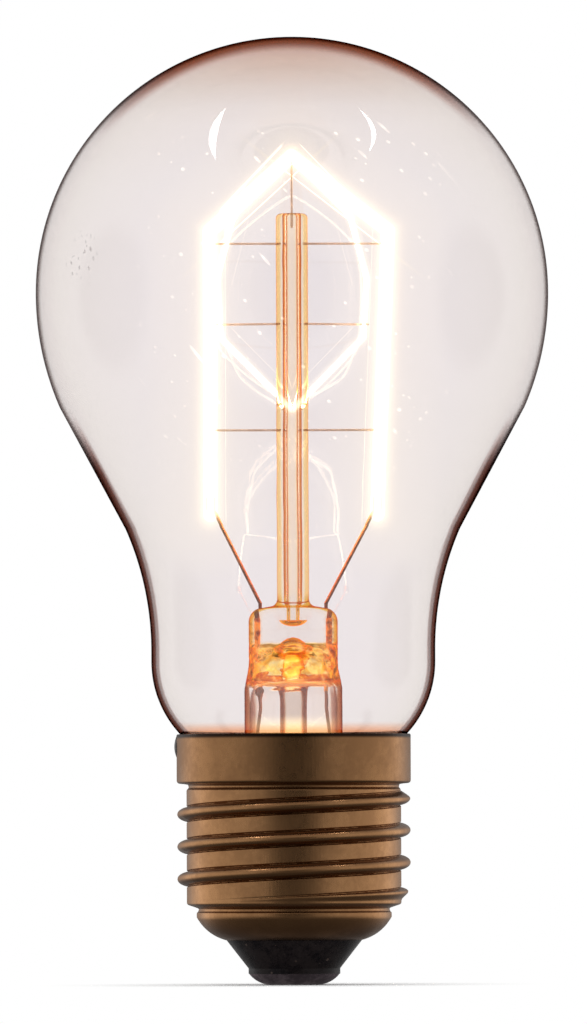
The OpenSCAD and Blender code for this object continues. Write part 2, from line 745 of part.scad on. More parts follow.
module centre_contact() {
    color([0.35, 0.33, 0.32])
        difference() {
            union() {
                rotate_extrude()
                    polygon(concat([[0, 0]], dish(0), reversed(dish(contact_wall)), [[0, contact_wall]]));
                cylinder(r = insulator_bore_r, h = eyelet_h, $fn = 48);
            }
            translate([0, 0, -1])
                cylinder(r = eyelet_r, h = eyelet_h + 2, $fn = 48);
        }
}

module contact_solder() {
    color("gray")
        difference() {
            cylinder(r = eyelet_r, h = solder_h, $fn = 48);
            translate([0, 0, solder_skin])
                cylinder(r = outer_lead_r, h = solder_h, $fn = 32);
        }
}

// A low bead on the left of the skirt: it fills the hole there and closes over the end of the shell's lead
module rim_solder() {
    bead_r = bead_d / 2;
    dome = bow([bead_r, shell_wall], [0, shell_wall + bead_h], bead_h / 4);
    color("gray")
        difference() {
            translate([-skirt_in_r, 0, bead_z])
                rotate([0, -90, 0])
                    rotate_extrude()
                        polygon(concat([[0, 0], [bead_r, 0]], dome));
            bar([-root_r, 0, bead_z], [-skirt_r - bead_h / 4, 0, bead_z], outer_lead_r);
        }
}

// Cement fills the skirt up to the glass, with a groove for the shell's lead
module cap_cement() {
    color("gainsboro")
        difference() {
            translate([0, 0, cement_z])
                cylinder(r = skirt_in_r, h = cement_h);
            rotate_extrude()
                polygon(concat([[0, stub_z]], bulb_outline(0), [[0, globe_z]]));
            translate([-skirt_d, -groove_w / 2, cement_z - 1])
                cube([skirt_d, groove_w, cement_h + 2]);
        }
}

glass_bulb();
stem_flare();
stem_press();
exhaust_tube();
centre_post();
filament();
inner_lead_left();
inner_lead_right();
seal_wire_left();
seal_wire_right();
outer_lead_shell();
outer_lead_contact();
support_top_front();
support_top_back();
support_upper_left();
support_upper_right();
support_middle_left();
support_middle_right();
support_lower_left();
support_lower_right();
support_back();
screw_shell();
cap_insulator();
centre_contact();
contact_solder();
rim_solder();
cap_cement();
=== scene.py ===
import json
import math

import bmesh
import bpy
from mathutils import Matrix, Vector, noise


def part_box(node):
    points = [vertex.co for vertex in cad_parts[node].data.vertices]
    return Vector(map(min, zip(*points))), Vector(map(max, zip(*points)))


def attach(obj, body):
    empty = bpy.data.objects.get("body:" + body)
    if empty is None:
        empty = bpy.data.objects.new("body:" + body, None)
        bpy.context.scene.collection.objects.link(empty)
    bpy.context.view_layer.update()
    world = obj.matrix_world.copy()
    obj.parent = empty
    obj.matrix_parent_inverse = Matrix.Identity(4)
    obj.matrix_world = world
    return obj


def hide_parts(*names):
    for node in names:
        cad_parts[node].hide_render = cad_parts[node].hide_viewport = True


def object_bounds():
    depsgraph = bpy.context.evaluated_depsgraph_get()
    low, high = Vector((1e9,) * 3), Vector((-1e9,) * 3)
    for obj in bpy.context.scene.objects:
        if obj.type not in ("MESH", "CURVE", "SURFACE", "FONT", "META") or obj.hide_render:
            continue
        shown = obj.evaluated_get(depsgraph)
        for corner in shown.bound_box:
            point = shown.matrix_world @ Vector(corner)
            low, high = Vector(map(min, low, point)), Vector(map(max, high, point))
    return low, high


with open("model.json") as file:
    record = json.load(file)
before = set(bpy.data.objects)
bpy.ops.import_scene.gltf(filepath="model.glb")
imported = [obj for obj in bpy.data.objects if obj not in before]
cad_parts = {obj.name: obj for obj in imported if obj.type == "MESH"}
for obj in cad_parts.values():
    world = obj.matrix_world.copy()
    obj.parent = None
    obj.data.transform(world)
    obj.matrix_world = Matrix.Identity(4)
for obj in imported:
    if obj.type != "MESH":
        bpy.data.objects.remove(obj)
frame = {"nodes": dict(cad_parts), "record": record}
cadLow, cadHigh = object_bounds()
lampHeight = cadHigh.z
mm = 0.001
print("frame loaded, lamp is", round(lampHeight / mm, 1), "mm high")


def eased(t):
    t = min(1, max(0, t))
    return t * t * (3 - 2 * t)


def between(a, b, t):
    return a + (b - a) * t


# Camera, world and lights

sides = (("left", -1), ("right", 1))


def placed(name, data):
    # a new object in the scene
    thing = bpy.data.objects.new(name, data)
    bpy.context.scene.collection.objects.link(thing)
    return thing


camera = {
    "pixels": (587, 1024),
    "pixelsPerMm": 8.9,
    "axisAtBase": 294.5,      # pixel column of the lamp's axis at the cap
    "axisAtTop": 291,         # the same at the crown, the lamp leans a little
    "basePixel": 984.5,       # pixel row of the contact's foot
    "distance": 1.6,
    "height": 0.016,
    "sensor": 36,
}


def makeCamera():
    wide, high = camera["pixels"]
    perMm, distance = camera["pixelsPerMm"], camera["distance"]
    frameHeight = high / perMm * mm
    aimHeight = (camera["basePixel"] - high / 2) / perMm * mm
    rise = aimHeight - camera["height"]
    data = bpy.data.cameras.new("camera")
    data.sensor_width = camera["sensor"]
    data.lens = camera["sensor"] * math.hypot(distance, rise) / frameHeight
    eye = placed("camera", data)
    eye.location = (0, -distance, camera["height"])
    # the lamp leans by the axis' drift between base and crown
    drift = camera["axisAtTop"] - camera["axisAtBase"]
    lean = math.atan2(-drift, lampHeight / mm * perMm)
    eye.rotation_euler = (math.radians(90) + math.atan2(rise, distance), 0, 0)
    eye.rotation_euler.rotate_axis("Z", -lean)
    data.shift_x = (wide / 2 - camera["axisAtBase"] - drift * aimHeight / lampHeight) / high
    bpy.context.scene.camera = eye


studio = {
    "background": (1.0, 1.0, 1.0),
    "wallEdge": (0.40, 0.34, 0.33),      # what a ray sees that ran along inside the glass wall
    "crossing": 2.5,                     # glass faces on the way, above which a ray has crossed the bulb
    "glassShine": (0.80, 0.79, 0.79),    # in sharp reflections, on glass
    "glassCards": (0.05, 0.04, 0.04),    # dark cards on the four sides, which draw the edges of the glass
    "cardEdge": (0.90, 0.97),            # cosine off the middle of a card
    "metalShine": [                      # in blurred ones, on metal, from the front round to the back
        (0.0, 0.05), (0.03, 0.07), (0.075, 0.33), (0.25, 0.46), (0.46, 0.55), (0.67, 0.75), (0.80, 1.0),
        (0.90, 0.55), (1.0, 0.25),
    ],
    "shineUp": (0.2, 0.85, 0.65),        # where that falls off, upwards and downwards, and to what share
    "shineDown": (0.1, 0.6, 0.15),
    "fill": (1.0, 1.0, 1.0),             # on matte surfaces
    "floor": (0.97, 0.97, 0.97),
    "floorRadius": 0.3,
    "floorSides": 96,
    "floorFade": (0.006, 0.03),
}


def link(tree, value, socket):
    # a socket is joined on and a plain value is set; a colour goes without its alpha
    if isinstance(value, bpy.types.NodeSocket):
        tree.links.new(value, socket)
    elif socket.type == "RGBA":
        socket.default_value = (*value[:3], 1)
    else:
        socket.default_value = value


def emptied(tree, output):
    # a tree without its standard nodes, and its new output's socket
    tree.nodes.clear()
    return tree.nodes.new(output).inputs["Surface"]


def bareMaterial(name):
    material = bpy.data.materials.new(name)
    material.use_nodes = True
    return material, material.node_tree, emptied(material.node_tree, "ShaderNodeOutputMaterial")


def mixColour(tree, factor, a, b, blend="MIX"):
    node = tree.nodes.new("ShaderNodeMix")
    node.data_type = "RGBA"
    node.blend_type = blend
    node.clamp_factor = True
    for at, value in ((0, factor), (6, a), (7, b)):      # where a colour mix has its sockets
        link(tree, value, node.inputs[at])
    return node.outputs[2]


def tinted(tree, share, colour, tint):
    return mixColour(tree, share, colour, tint, "MULTIPLY")


def maths(tree, operation, a, b=0.0, clamp=False):
    node = tree.nodes.new("ShaderNodeMath")
    node.operation = operation
    node.use_clamp = clamp
    link(tree, a, node.inputs[0])
    link(tree, b, node.inputs[1])
    return node.outputs[0]


def times(tree, a, b):
    return maths(tree, "MULTIPLY", a, b)


def plus(tree, a, b, clamp=False):
    return maths(tree, "ADD", a, b, clamp)


def ramp(tree, factor, stops):
    node = tree.nodes.new("ShaderNodeValToRGB")
    entries = node.color_ramp.elements
    while len(entries) < len(stops):
        entries.new(0.5)
    for entry, (at, colour) in zip(entries, stops):
        entry.position = at
        entry.color = (*colour, 1)
    link(tree, factor, node.inputs[0])
    return node.outputs[0]


def mapRange(tree, value, low, high, toLow=0.0, toHigh=1.0):
    node = tree.nodes.new("ShaderNodeMapRange")
    node.interpolation_type = "SMOOTHSTEP"
    names = ("Value", "From Min", "From Max", "To Min", "To Max")
    for name, part in zip(names, (value, low, high, toLow, toHigh)):
        link(tree, part, node.inputs[name])
    return node.outputs[0]


def separated(tree, vector):
    node = tree.nodes.new("ShaderNodeSeparateXYZ")
    link(tree, vector, node.inputs[0])
    return node.outputs


def combined(tree, *parts):
    node = tree.nodes.new("ShaderNodeCombineXYZ")
    for part, socket in zip(parts, node.inputs):
        link(tree, part, socket)
    return node.outputs[0]


def vectorMaths(tree, operation, a, b=(0, 0, 0)):
    node = tree.nodes.new("ShaderNodeVectorMath")
    node.operation = operation
    link(tree, a, node.inputs[0])
    link(tree, b, node.inputs["Scale" if operation == "SCALE" else 1])
    return node.outputs["Value" if operation in ("DOT_PRODUCT", "DISTANCE", "LENGTH") else "Vector"]


def placeOf(tree):
    return tree.nodes.new("ShaderNodeTexCoord").outputs["Object"]


def makeWorld():
    world = bpy.data.worlds.new("studio")
    bpy.context.scene.world = world
    world.use_nodes = True
    tree = world.node_tree
    surface = emptied(tree, "ShaderNodeOutputWorld")
    ground = tree.nodes.new("ShaderNodeBackground")
    path = tree.nodes.new("ShaderNodeLightPath").outputs
    way = separated(tree, tree.nodes.new("ShaderNodeTexCoord").outputs["Generated"])
    square = maths(tree, "MAXIMUM", maths(tree, "ABSOLUTE", way["X"]), maths(tree, "ABSOLUTE", way["Y"]))
    cards = mapRange(tree, square, *studio["cardEdge"])
    glassShine = mixColour(tree, cards, studio["glassShine"], studio["glassCards"])
    behind = times(tree, plus(tree, way["Y"], 1.0), 0.5)
    metalShine = ramp(tree, behind, [(at, (light,) * 3) for at, light in studio["metalShine"]])
    for part, side in (("shineUp", 1), ("shineDown", -1)):
        low, high, share = studio[part]
        level = mapRange(tree, times(tree, way["Z"], side), low, high, 1, share)
        metalShine = tinted(tree, 1.0, metalShine, level)
    crossed = maths(tree, "GREATER_THAN", path["Transmission Depth"], studio["crossing"])
    seenThrough = mixColour(tree, crossed, studio["wallEdge"], studio["background"])
    shine = mixColour(tree, path["Is Singular Ray"], metalShine, glassShine)
    colour = mixColour(tree, path["Is Glossy Ray"], studio["fill"], shine)
    colour = mixColour(tree, path["Is Transmission Ray"], colour, seenThrough)
    colour = mixColour(tree, path["Is Camera Ray"], colour, studio["background"])
    link(tree, colour, ground.inputs["Color"])
    link(tree, ground.outputs[0], surface)


def newLamp(name, kind, lit, seen):
    # a lamp that lights only the pieces in the collection lit
    # seen ones show through the glass, but don't light
    lamp = placed(name, bpy.data.lights.new(name, kind))
    lamp.light_linking.receiver_collection = lit
    lamp.visible_camera = lamp.visible_transmission = seen
    lamp.visible_glossy = lamp.visible_diffuse = not seen
    return lamp


glints = {
    # two curved studio lamps, by the marks that they leave on the front of the globe, in mm:
    # tips (x, z), bow of the outer edge, bow of the inner edge
    "left": ((-7.1, 97.8), (-8.2, 92.0), 1.25, 0.35),
    "right": ((7.3, 97.7), (8.35, 92.75), 1.3, 0.8),
    "distance": 750,
    "radiance": 14,
    "steps": 12,
}


def makeGlints(globeRadius, globeHeight):
    material, tree, surface = bareMaterial("lampGlow")
    glow = tree.nodes.new("ShaderNodeEmission")
    link(tree, glints["radiance"], glow.inputs["Strength"])
    link(tree, glow.outputs[0], surface)
    steps, toEye = glints["steps"], Vector((0, -1, 0))
    for side, sign in sides:
        top, bottom, outer, inner = glints[side]
        verts = []
        for bow in (outer, inner):
            for i in range(steps + 1):
                t = i / steps
                x = between(top[0], bottom[0], t) + sign * bow * 4 * t * (1 - t)
                z = between(top[1], bottom[1], t) - globeHeight
                normal = Vector((x, -math.sqrt(globeRadius ** 2 - x * x - z * z), z)).normalized()
                away = normal * 2 * normal.dot(toEye) - toEye
                verts.append((away * glints["distance"] + Vector((0, 0, globeHeight))) * mm)
        mesh = bpy.data.meshes.new("glint." + side)
        mesh.from_pydata(verts, [], [(i, i + 1, steps + 2 + i, steps + 1 + i) for i in range(steps)])
        mesh.materials.append(material)
        lamp = placed("glint." + side, mesh)
        for flag in ("visible_camera", "visible_transmission", "visible_diffuse", "visible_shadow"):
            setattr(lamp, flag, False)


def makeFloor():
    bm = bmesh.new()
    bmesh.ops.create_circle(bm, cap_ends=True, segments=studio["floorSides"], radius=studio["floorRadius"])
    mesh = bpy.data.meshes.new("floor")
    bm.to_mesh(mesh)
    bm.free()
    floor = placed("floor", mesh)
    material, tree, surface = bareMaterial("paleFloor")
    matte = tree.nodes.new("ShaderNodeBsdfDiffuse")
    glow = tree.nodes.new("ShaderNodeEmission")
    mixed = tree.nodes.new("ShaderNodeMixShader")
    link(tree, studio["floor"], matte.inputs["Color"])
    link(tree, studio["background"], glow.inputs["Color"])
    fade = mapRange(tree, vectorMaths(tree, "LENGTH", placeOf(tree)), *studio["floorFade"])
    for value, socket in zip((fade, matte.outputs[0], glow.outputs[0]), mixed.inputs):
        link(tree, value, socket)
    link(tree, mixed.outputs[0], surface)
    mesh.materials.append(material)
    floor.visible_glossy = False         # reflections and the glass show the studio's own colours instead
    floor.visible_transmission = False


makeCamera()
makeWorld()
makeFloor()
bpy.context.scene.view_settings.view_transform = "Standard"
print("camera, world and floor made")

# Mesh helpers, with lengths in millimetres


def newPiece(name, shape, slot, *nodes):
    points, faces = shape
    mesh = bpy.data.meshes.new(name)
    mesh.from_pydata([Vector(p) * mm for p in points], [], faces)
    bm = bmesh.new()
    bm.from_mesh(mesh)
    bmesh.ops.recalc_face_normals(bm, faces=bm.faces)
    bm.to_mesh(mesh)
    bm.free()
    mesh.shade_smooth()
    mesh.materials.append(slots[slot])
    piece = placed(name, mesh)
    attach(piece, "root")
    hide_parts(*nodes)
    return piece


def arc(centre, radius, start, end, steps):
    angles = [math.radians(start + (end - start) * i / steps) for i in range(steps + 1)]
    return [(centre[0] + radius * math.cos(a), centre[1] + radius * math.sin(a)) for a in angles]


def loft(rings, closed=False):
    # faces between rings of points, in their order; a ring of one point is a pole
    points, index, faces = [], [], []
    for ring in rings:
        index.append(range(len(points), len(points) + len(ring)))
        points += ring
    pairs = list(zip(index, index[1:]))
    if closed:
        pairs.append((index[-1], index[0]))
    for low, high in pairs:
        for k in range(max(len(low), len(high))):
            after = k + 1
            face = (low[k % len(low)], low[after % len(low)], high[after % len(high)], high[k % len(high)])
            face = list(dict.fromkeys(face))
            if len(face) > 2:
                faces.append(face)
    return points, faces


def turns(steps):
    return [2 * math.pi * k / steps for k in range(steps)]


def circle(radius, z, steps):
    if radius < 1e-6:
        return [(0, 0, z)]
    return [(radius * math.cos(t), radius * math.sin(t), z) for t in turns(steps)]


def revolve(outline, steps):
    # a closed outline of (radius, height) turned about Z
    return loft([circle(r, z, steps) for r, z in outline], closed=True)


def joined(*shapes):
    points, faces = [], []
    for more, facets in shapes:
        faces += [[i + len(points) for i in face] for face in facets]
        points += more
    return points, faces


def rounded(corners, reach, steps=6):
    # a path with its inner corners rounded off, from reach before them to reach after them
    corners = [Vector(c) for c in corners]
    path = [corners[0]]
    for before, corner, after in zip(corners, corners[1:], corners[2:]):
        start = corner + (before - corner).normalized() * reach
        end = corner + (after - corner).normalized() * reach
        for i in range(steps + 1):
            t = i / steps
            path.append(start * (1 - t) ** 2 + corner * 2 * t * (1 - t) + end * t * t)
    return path + [corners[-1]]


def evenly(path, step):
    # points along the path, one every step
    points, left = [path[0]], step
    for a, b in zip(path, path[1:]):
        length = (b - a).length
        at = left
        while at <= length:
            points.append(a.lerp(b, at / length))
            at += step
        left = at - length
    return points


def frames(path):
    # a tangent and two sides at each point, carried along without twist
    ways = [(b - a).normalized() for a, b in zip(path, path[1:])]
    tangents = [ways[0]] + [(a + b).normalized() for a, b in zip(ways, ways[1:])] + [ways[-1]]
    side = tangents[0].orthogonal()
    out = []
    for tangent in tangents:
        side = (side - tangent * side.dot(tangent)).normalized()
        out.append((tangent, side, tangent.cross(side)))
    return out


def tube(path, radius, sideCount):
    # a round bar along the path, closed at both ends
    rings = [[point + (u * math.cos(t) + v * math.sin(t)) * radius for t in turns(sideCount)]
             for point, (way, u, v) in zip(path, frames(path))]
    return loft([[path[0]]] + rings + [[path[-1]]])


def coilAlong(path, radius, pitch, perTurn):
    # the middle line of a wire wound around the path
    line = evenly(path, pitch / perTurn)
    coil = []
    for i, (point, (way, u, v)) in enumerate(zip(line, frames(line))):
        t = 2 * math.pi * i / perTurn
        coil.append(point + (u * math.cos(t) + v * math.sin(t)) * radius)
    return coil


# Glass bulb

bulb = {
    "globe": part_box("glass_bulb")[1].x / mm,
    "globeHeight": 77.7,
    "lowerGlobe": 32,
    "slope": 29.5,
    "neckCurve": 34,
    "neck": 15.95,
    "neckStraight": 1.3,
    "neckFoot": 12,
    "footHeight": 36.31,
    "stub": 10.8,
    "stubEnd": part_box("glass_bulb")[0].z / mm,
    "fillet": 1.5,
    "wallGlobe": 0.18,
    "wallNeck": 0.34,
    "wallFoot": 0.3,
    "wallChange": 1.6,           # how soon the foot's wall becomes the neck's, per mm of height
    "arcSteps": 30,
    "shared": 6,                 # steps that the neck's and the globe's arc give up to a straight slope
    "steps": 160,
}


def bulbOutline(inner):
    # from the stub's end up to the crown; inner is 1 for the inside of the wall
    b = bulb
    neck, neckFoot, footHeight, neckCurve = b["neck"], b["neckFoot"], b["footHeight"], b["neckCurve"]
    globe, lowerGlobe, fillet, slope = b["globe"], b["lowerGlobe"], b["fillet"], b["slope"]
    footX = neck - neckFoot
    filletX = b["stub"] + fillet
    filletZ = footHeight - math.sqrt((neckFoot + fillet) ** 2 - (filletX - footX) ** 2)
    turn = math.degrees(math.atan2(footHeight - filletZ, footX - filletX))
    curveZ = footHeight + b["neckStraight"]
    a = math.radians(slope)
    lowX = neck + neckCurve * (1 - math.cos(a))
    lowZ = curveZ + neckCurve * math.sin(a)
    highX = globe - lowerGlobe * (1 - math.cos(a))
    highZ = lowZ + (highX - lowX) / math.tan(a)
    globeZ = highZ + lowerGlobe * math.sin(a)
    thick, thin, foot = (b[part] * inner for part in ("wallNeck", "wallGlobe", "wallFoot"))
    steps, shared = b["arcSteps"], b["shared"]
    line = [(b["stub"] - foot, b["stubEnd"])]
    line += arc((filletX, filletZ), fillet + foot, 180, turn, 6)
    for x, z in arc((footX, footHeight), 1, turn - 180, 0, 24):
        radius = neckFoot - foot - (thick - foot) * eased(1 + (z - footHeight) * b["wallChange"])
        line.append((footX + (x - footX) * radius, footHeight + (z - footHeight) * radius))
    line += arc((neck + neckCurve, curveZ), neckCurve + thick, 180, 180 - slope, steps)[:-shared]
    line += arc((globe - lowerGlobe, globeZ), lowerGlobe - thin, -slope, 0, steps)[shared:]
    line += arc((0, globeZ), globe - thin, 1.5, 90, 2 * steps - 1)
    return line[:-1] + [(0, line[-1][1])]


# Glass stem: flare tube, press, exhaust tube and centre post, fused into one piece of glass

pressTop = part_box("stem_press")[1].z / mm
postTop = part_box("centre_post")[1].z / mm

stem = {
    "post": 1.8,
    "bore": 0.7,
    "boreEnd": pressTop - 2.1,
    "footBubble": [              # the flat hollow under the post's foot: radius and height
        (0.5, 0.04), (0.9, 0.14), (1.25, 0.32), (1.5, 0.55), (1.55, 0.66), (1.45, 0.68), (1.2, 0.52),
        (0.9, 0.42), (0.68, 0.45),
    ],
    "fillet": 0.8,               # between the post and the press
    "filletRise": 0.15,
    "pressWidth": 5.0,           # half the width, half the depth and squareness of the press
    "pressDepth": 2.4,
    "pressSquare": 3.2,
    "pressCorner": 1.6,
    "shelfTop": 38.5,            # where the flat press starts to grow as deep as the round tube
    "shelfBottom": 35.3,
    "waist": 36.2,               # and where it starts to grow as wide
    "tube": 5.5,
    "tubeWall": 0.55,
    "tubeStart": 33.0,
    "flareStart": 25.65,
    "flareCurve": 3.0,
    "lip": 10.1,
    "lipTurn": 1.1,
    "lipBevel": 0.2,
    "lipEnd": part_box("stem_flare")[0].z / mm,
    "roof": 34.05,               # underside of the press inside the tube
    "roofCorner": 0.7,
    "roofHollow": [(3.4, -0.12), (2.8, -0.22)],
    "roofFillet": 0.8,
    "roofDrop": 1.1,
    "exhaust": 1.5,
    "exhaustBore": 0.9,
    "exhaustEnd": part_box("exhaust_tube")[0].z / mm,
    "exhaustTip": 3.0,
    "ringHeight": 36.9,          # the blown ring where the exhaust opens
    "ring": [                    # radius and height
        (0.945, -0.7), (1.3, -0.42), (1.8, -0.26), (2.1, -0.1), (2.2, 0.05), (2.1, 0.22), (1.8, 0.32),
        (1.5, 0.44), (1.35, 0.7),
    ],
    "dome": 1.35,
    "domeTop": 39.0,
    "tilt": 0.26,
    "boreWobble": (0.03, (0, 3), 0.35),      # unevenness of the drawn tube: size, offset and frequency
    "postWobble": (0.025, (7, 0), 0.25),
    "lump": 0.32,                # unevenness of the melted glass between press and tube
    "lumpSize": 1.3,
    "lumpFlatness": 1.3,
    "lumpFrom": 31.5,
    "lumpTo": 39.5,
    "lumpFade": 1.6,
    "lumpBeyond": 2.3,           # radius that stays smooth
    "postRows": 60,
    "pressRows": 48,
    "steps": 144,
}


def lumpAt(x, y, z):
    s, size = stem, stem["lumpSize"]
    middle, half = (s["lumpFrom"] + s["lumpTo"]) / 2, (s["lumpTo"] - s["lumpFrom"]) / 2
    share = eased(s["lumpFade"] * (1 - abs(z - middle) / half))
    return s["lump"] * share * noise.noise((x / size, y / size + 5, z / size * s["lumpFlatness"]))


def oval(halfWidth, halfDepth, square, z, tilt=0.0):
    # a ring that is round at square 2 and ever more like a rounded slab above that
    # it is lumpy where the glass was melted
    ring = []
    for t in turns(stem["steps"]):
        c, s = math.cos(t), math.sin(t)
        r = ((abs(c) / halfWidth) ** square + (abs(s) / halfDepth) ** square) ** (-1 / square)
        height = z + tilt * r * s
        if r > stem["lumpBeyond"]:
            r += min(0, lumpAt(r * c, r * s, height))
        ring.append((r * c, r * s, height))
    return ring


def roundRings(outline, z=0.0):
    return [oval(r, r, 2, z + rise) for r, rise in outline]


def straightRings(radius, start, end, steps):
    # round rings between two heights, without the ends
    return roundRings([(radius, between(start, end, i / steps)) for i in range(1, steps)])


def wobblyRings(radius, start, end, wobble, offset, frequency):
    # round rings of a drawn tube, whose radius is slightly uneven
    heights = [between(start, end, i / stem["postRows"]) for i in range(stem["postRows"] + 1)]
    return roundRings([(radius + wobble * noise.noise((*offset, z * frequency)), z) for z in heights])


def postRings():
    # from the bore's blind end up and over the post's top, and down to its fillet on the press
    s = stem
    foot, post, bore, fillet = s["boreEnd"], s["post"], s["bore"], s["fillet"]
    rimMiddle, rim = (post + bore) / 2, (post - bore) / 2
    filletTop = pressTop + fillet + s["filletRise"]
    rings = [circle(0, foot, 1)] + roundRings(s["footBubble"], foot)
    rings += wobblyRings(bore, foot + 0.75, postTop - rim, *s["boreWobble"])
    rings += roundRings(arc((rimMiddle, postTop - rim), rim, 172, 0, 12))
    rings += wobblyRings(post, postTop - rim - 0.3, filletTop, *s["postWobble"])
    for r, z in arc((post + fillet, filletTop), fillet, 185, 262, 8):
        rings.append(oval(r, between(post, 2.15, (r - post) / fillet), 2.1, z))
    return rings


def pressRings():
    # over the press' corner, and down to the round tube
    s, rows = stem, stem["pressRows"]
    corner, wide, deep, square = s["pressCorner"], s["pressWidth"], s["pressDepth"], s["pressSquare"]
    rings = []
    for r, z in arc((wide - corner, pressTop - corner), corner, 90, 0, 12):
        t = (r - wide + corner) / corner
        rings.append(oval(r, between(2.2, deep, t), between(2.5, square, t), z))
    for i in range(1, rows + 1):
        z = between(pressTop - corner, s["tubeStart"], i / rows)
        t = eased((s["shelfTop"] - z) / (s["shelfTop"] - s["shelfBottom"]))
        width = between(wide, s["tube"], eased((s["waist"] - z) / (s["waist"] - s["tubeStart"])))
        rings.append(oval(width, between(deep, width, t), between(square, 2, t), z))
    return rings


def flareRings():
    # down the tube and the flare, round the lip, and back up the inside to the press' underside
    s = stem
    outer, inner, start, curve = s["tube"], s["tube"] - s["tubeWall"], s["flareStart"], s["flareCurve"]
    lip, turn, bevel, corner, roof = s["lip"], s["lipTurn"], s["lipBevel"], s["roofCorner"], s["roof"]
    low, edges = start - curve, []
    for inset, slant, steps in ((0, -bevel, 8), (s["tubeWall"], bevel, 4)):
        edge = arc((outer + curve, start), curve + inset, 180, 270, 12)
        edge += arc((lip - turn, low - turn), turn - inset, 90, 0, steps)
        edges.append(edge + [(lip - inset, s["lipEnd"] + bevel), (lip - inset + slant, s["lipEnd"])])
    rings = straightRings(outer, s["tubeStart"], start, 12) + roundRings(edges[0] + edges[1][::-1])
    rings += straightRings(inner, start, roof - corner, 12)
    return rings + roundRings(arc((inner - corner, roof - corner), corner, 0, 90, 6))


def exhaustRings():
    # in over the press' underside, and down the exhaust tube to its pinched tip
    s, roof, exhaust, fillet = stem, stem["roof"], stem["exhaust"], stem["roofFillet"]
    start, tip = roof - s["roofDrop"], s["exhaustEnd"]
    cone = tip + s["exhaustTip"]
    rings = roundRings(s["roofHollow"], roof)
    rings += roundRings(arc((exhaust + fillet, start), fillet, 90, 180, 8))
    rings += straightRings(exhaust, start, cone, 20)
    for i in range(9):
        t = i / 9
        rings += roundRings([(exhaust * math.sqrt(1 - t * t), between(cone, tip, t))])
    return rings + [circle(0, tip, 1)]


def stemHollow():
    # the exhaust tube's bore, up to the blown ring and the dome above it
    s = stem
    bore, mid, dome = s["exhaustBore"], s["ringHeight"], s["dome"]
    low = s["exhaustEnd"] + s["exhaustTip"] / 2
    rings = [circle(0, low, 1)]
    for i in range(1, 6):
        t = i / 5
        rings += roundRings([(bore * math.sqrt(1 - (1 - t) ** 2), between(low, low + 2, t))])
    rings += straightRings(bore, low + 2, mid - 0.9, 20)
    blown = [(r, mid + rise) for r, rise in s["ring"]]
    for a in range(0, 90, 15):
        t = math.radians(a)
        blown.append((dome * math.cos(t), between(mid + 1, s["domeTop"], math.sin(t))))
    rings += [oval(r, r, 2, z, s["tilt"] * eased((z - mid + 1) / 0.6)) for r, z in blown]
    return loft(rings + [circle(0, s["domeTop"], 1)])


# Screw shell: the skirt, the thread and the rounded lip, pressed from thin brass

shell = {
    "crest": 13.1,
    "root": 12.05,
    "pitch": 3.629,
    "crestHeight": 15.52,        # of the crest on the left
    "crestWidth": 0.215,         # half the width of a crest's foot, in pitches
    "crestRound": 0.5,           # power that rounds its profile
    "creaseWidth": 0.05,         # of the crease between it and the plain band, in pitches
    "creaseDip": 0.26,           # depth of the crease, as a share of the crest's height
    "threadLow": 9.3,
    "threadHigh": 22.3,
    "fade": 1.5,
    "wall": 0.3,
    "skirt": 13.15,
    "rim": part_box("screw_shell")[1].z / mm,
    "skirtLow": 22.6,
    "skirtCorner": 0.35,
    "notch": 11.8,
    "foot": 0.3,                 # corner under the thread
    "lip": 10.95,
    "lipCorner": 0.18,
    "lipHeight": 8.2,
    "groove": 0.25,
    "hole": 7.6,
    "bottom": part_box("screw_shell")[0].z / mm,
    "bulge": 0.45,
    "bulgeSteps": 14,
    "rows": 220,
    "innerRows": 50,
    "steps": 180,
}


def threadRise(z, turn):
    # 0 on the plain band and 1 on a crest; turn is the way round from the left side, 0 to 1
    s = shell
    at = (z - s["crestHeight"]) / s["pitch"] - turn
    off, dip = abs(at - round(at)), s["creaseDip"]
    if off < s["crestWidth"]:
        full = (1 + dip) * (1 - (off / s["crestWidth"]) ** 2) ** s["crestRound"] - dip
    else:
        full = -dip * (1 - eased((off - s["crestWidth"]) / s["creaseWidth"]))
    return full * eased(min(z - s["threadLow"], s["threadHigh"] - z) / s["fade"])


def threadRow(z, inset):
    s, row = shell, []
    for t in turns(s["steps"]):
        r = s["root"] - inset + (s["crest"] - s["root"]) * threadRise(z, t / (2 * math.pi) - 0.5)
        row.append((r * math.cos(t), r * math.sin(t), z))
    return row


def bowed(start, end, bulge, steps):
    # a shallow bow between two points that stands off to the right of the way
    way = (end[0] - start[0], end[1] - start[1])
    length = math.hypot(*way)
    points = []
    for i in range(steps + 1):
        t = i / steps
        off = bulge * 4 * t * (1 - t) / length
        points.append((start[0] + way[0] * t + way[1] * off, start[1] + way[1] * t - way[0] * off))
    return points


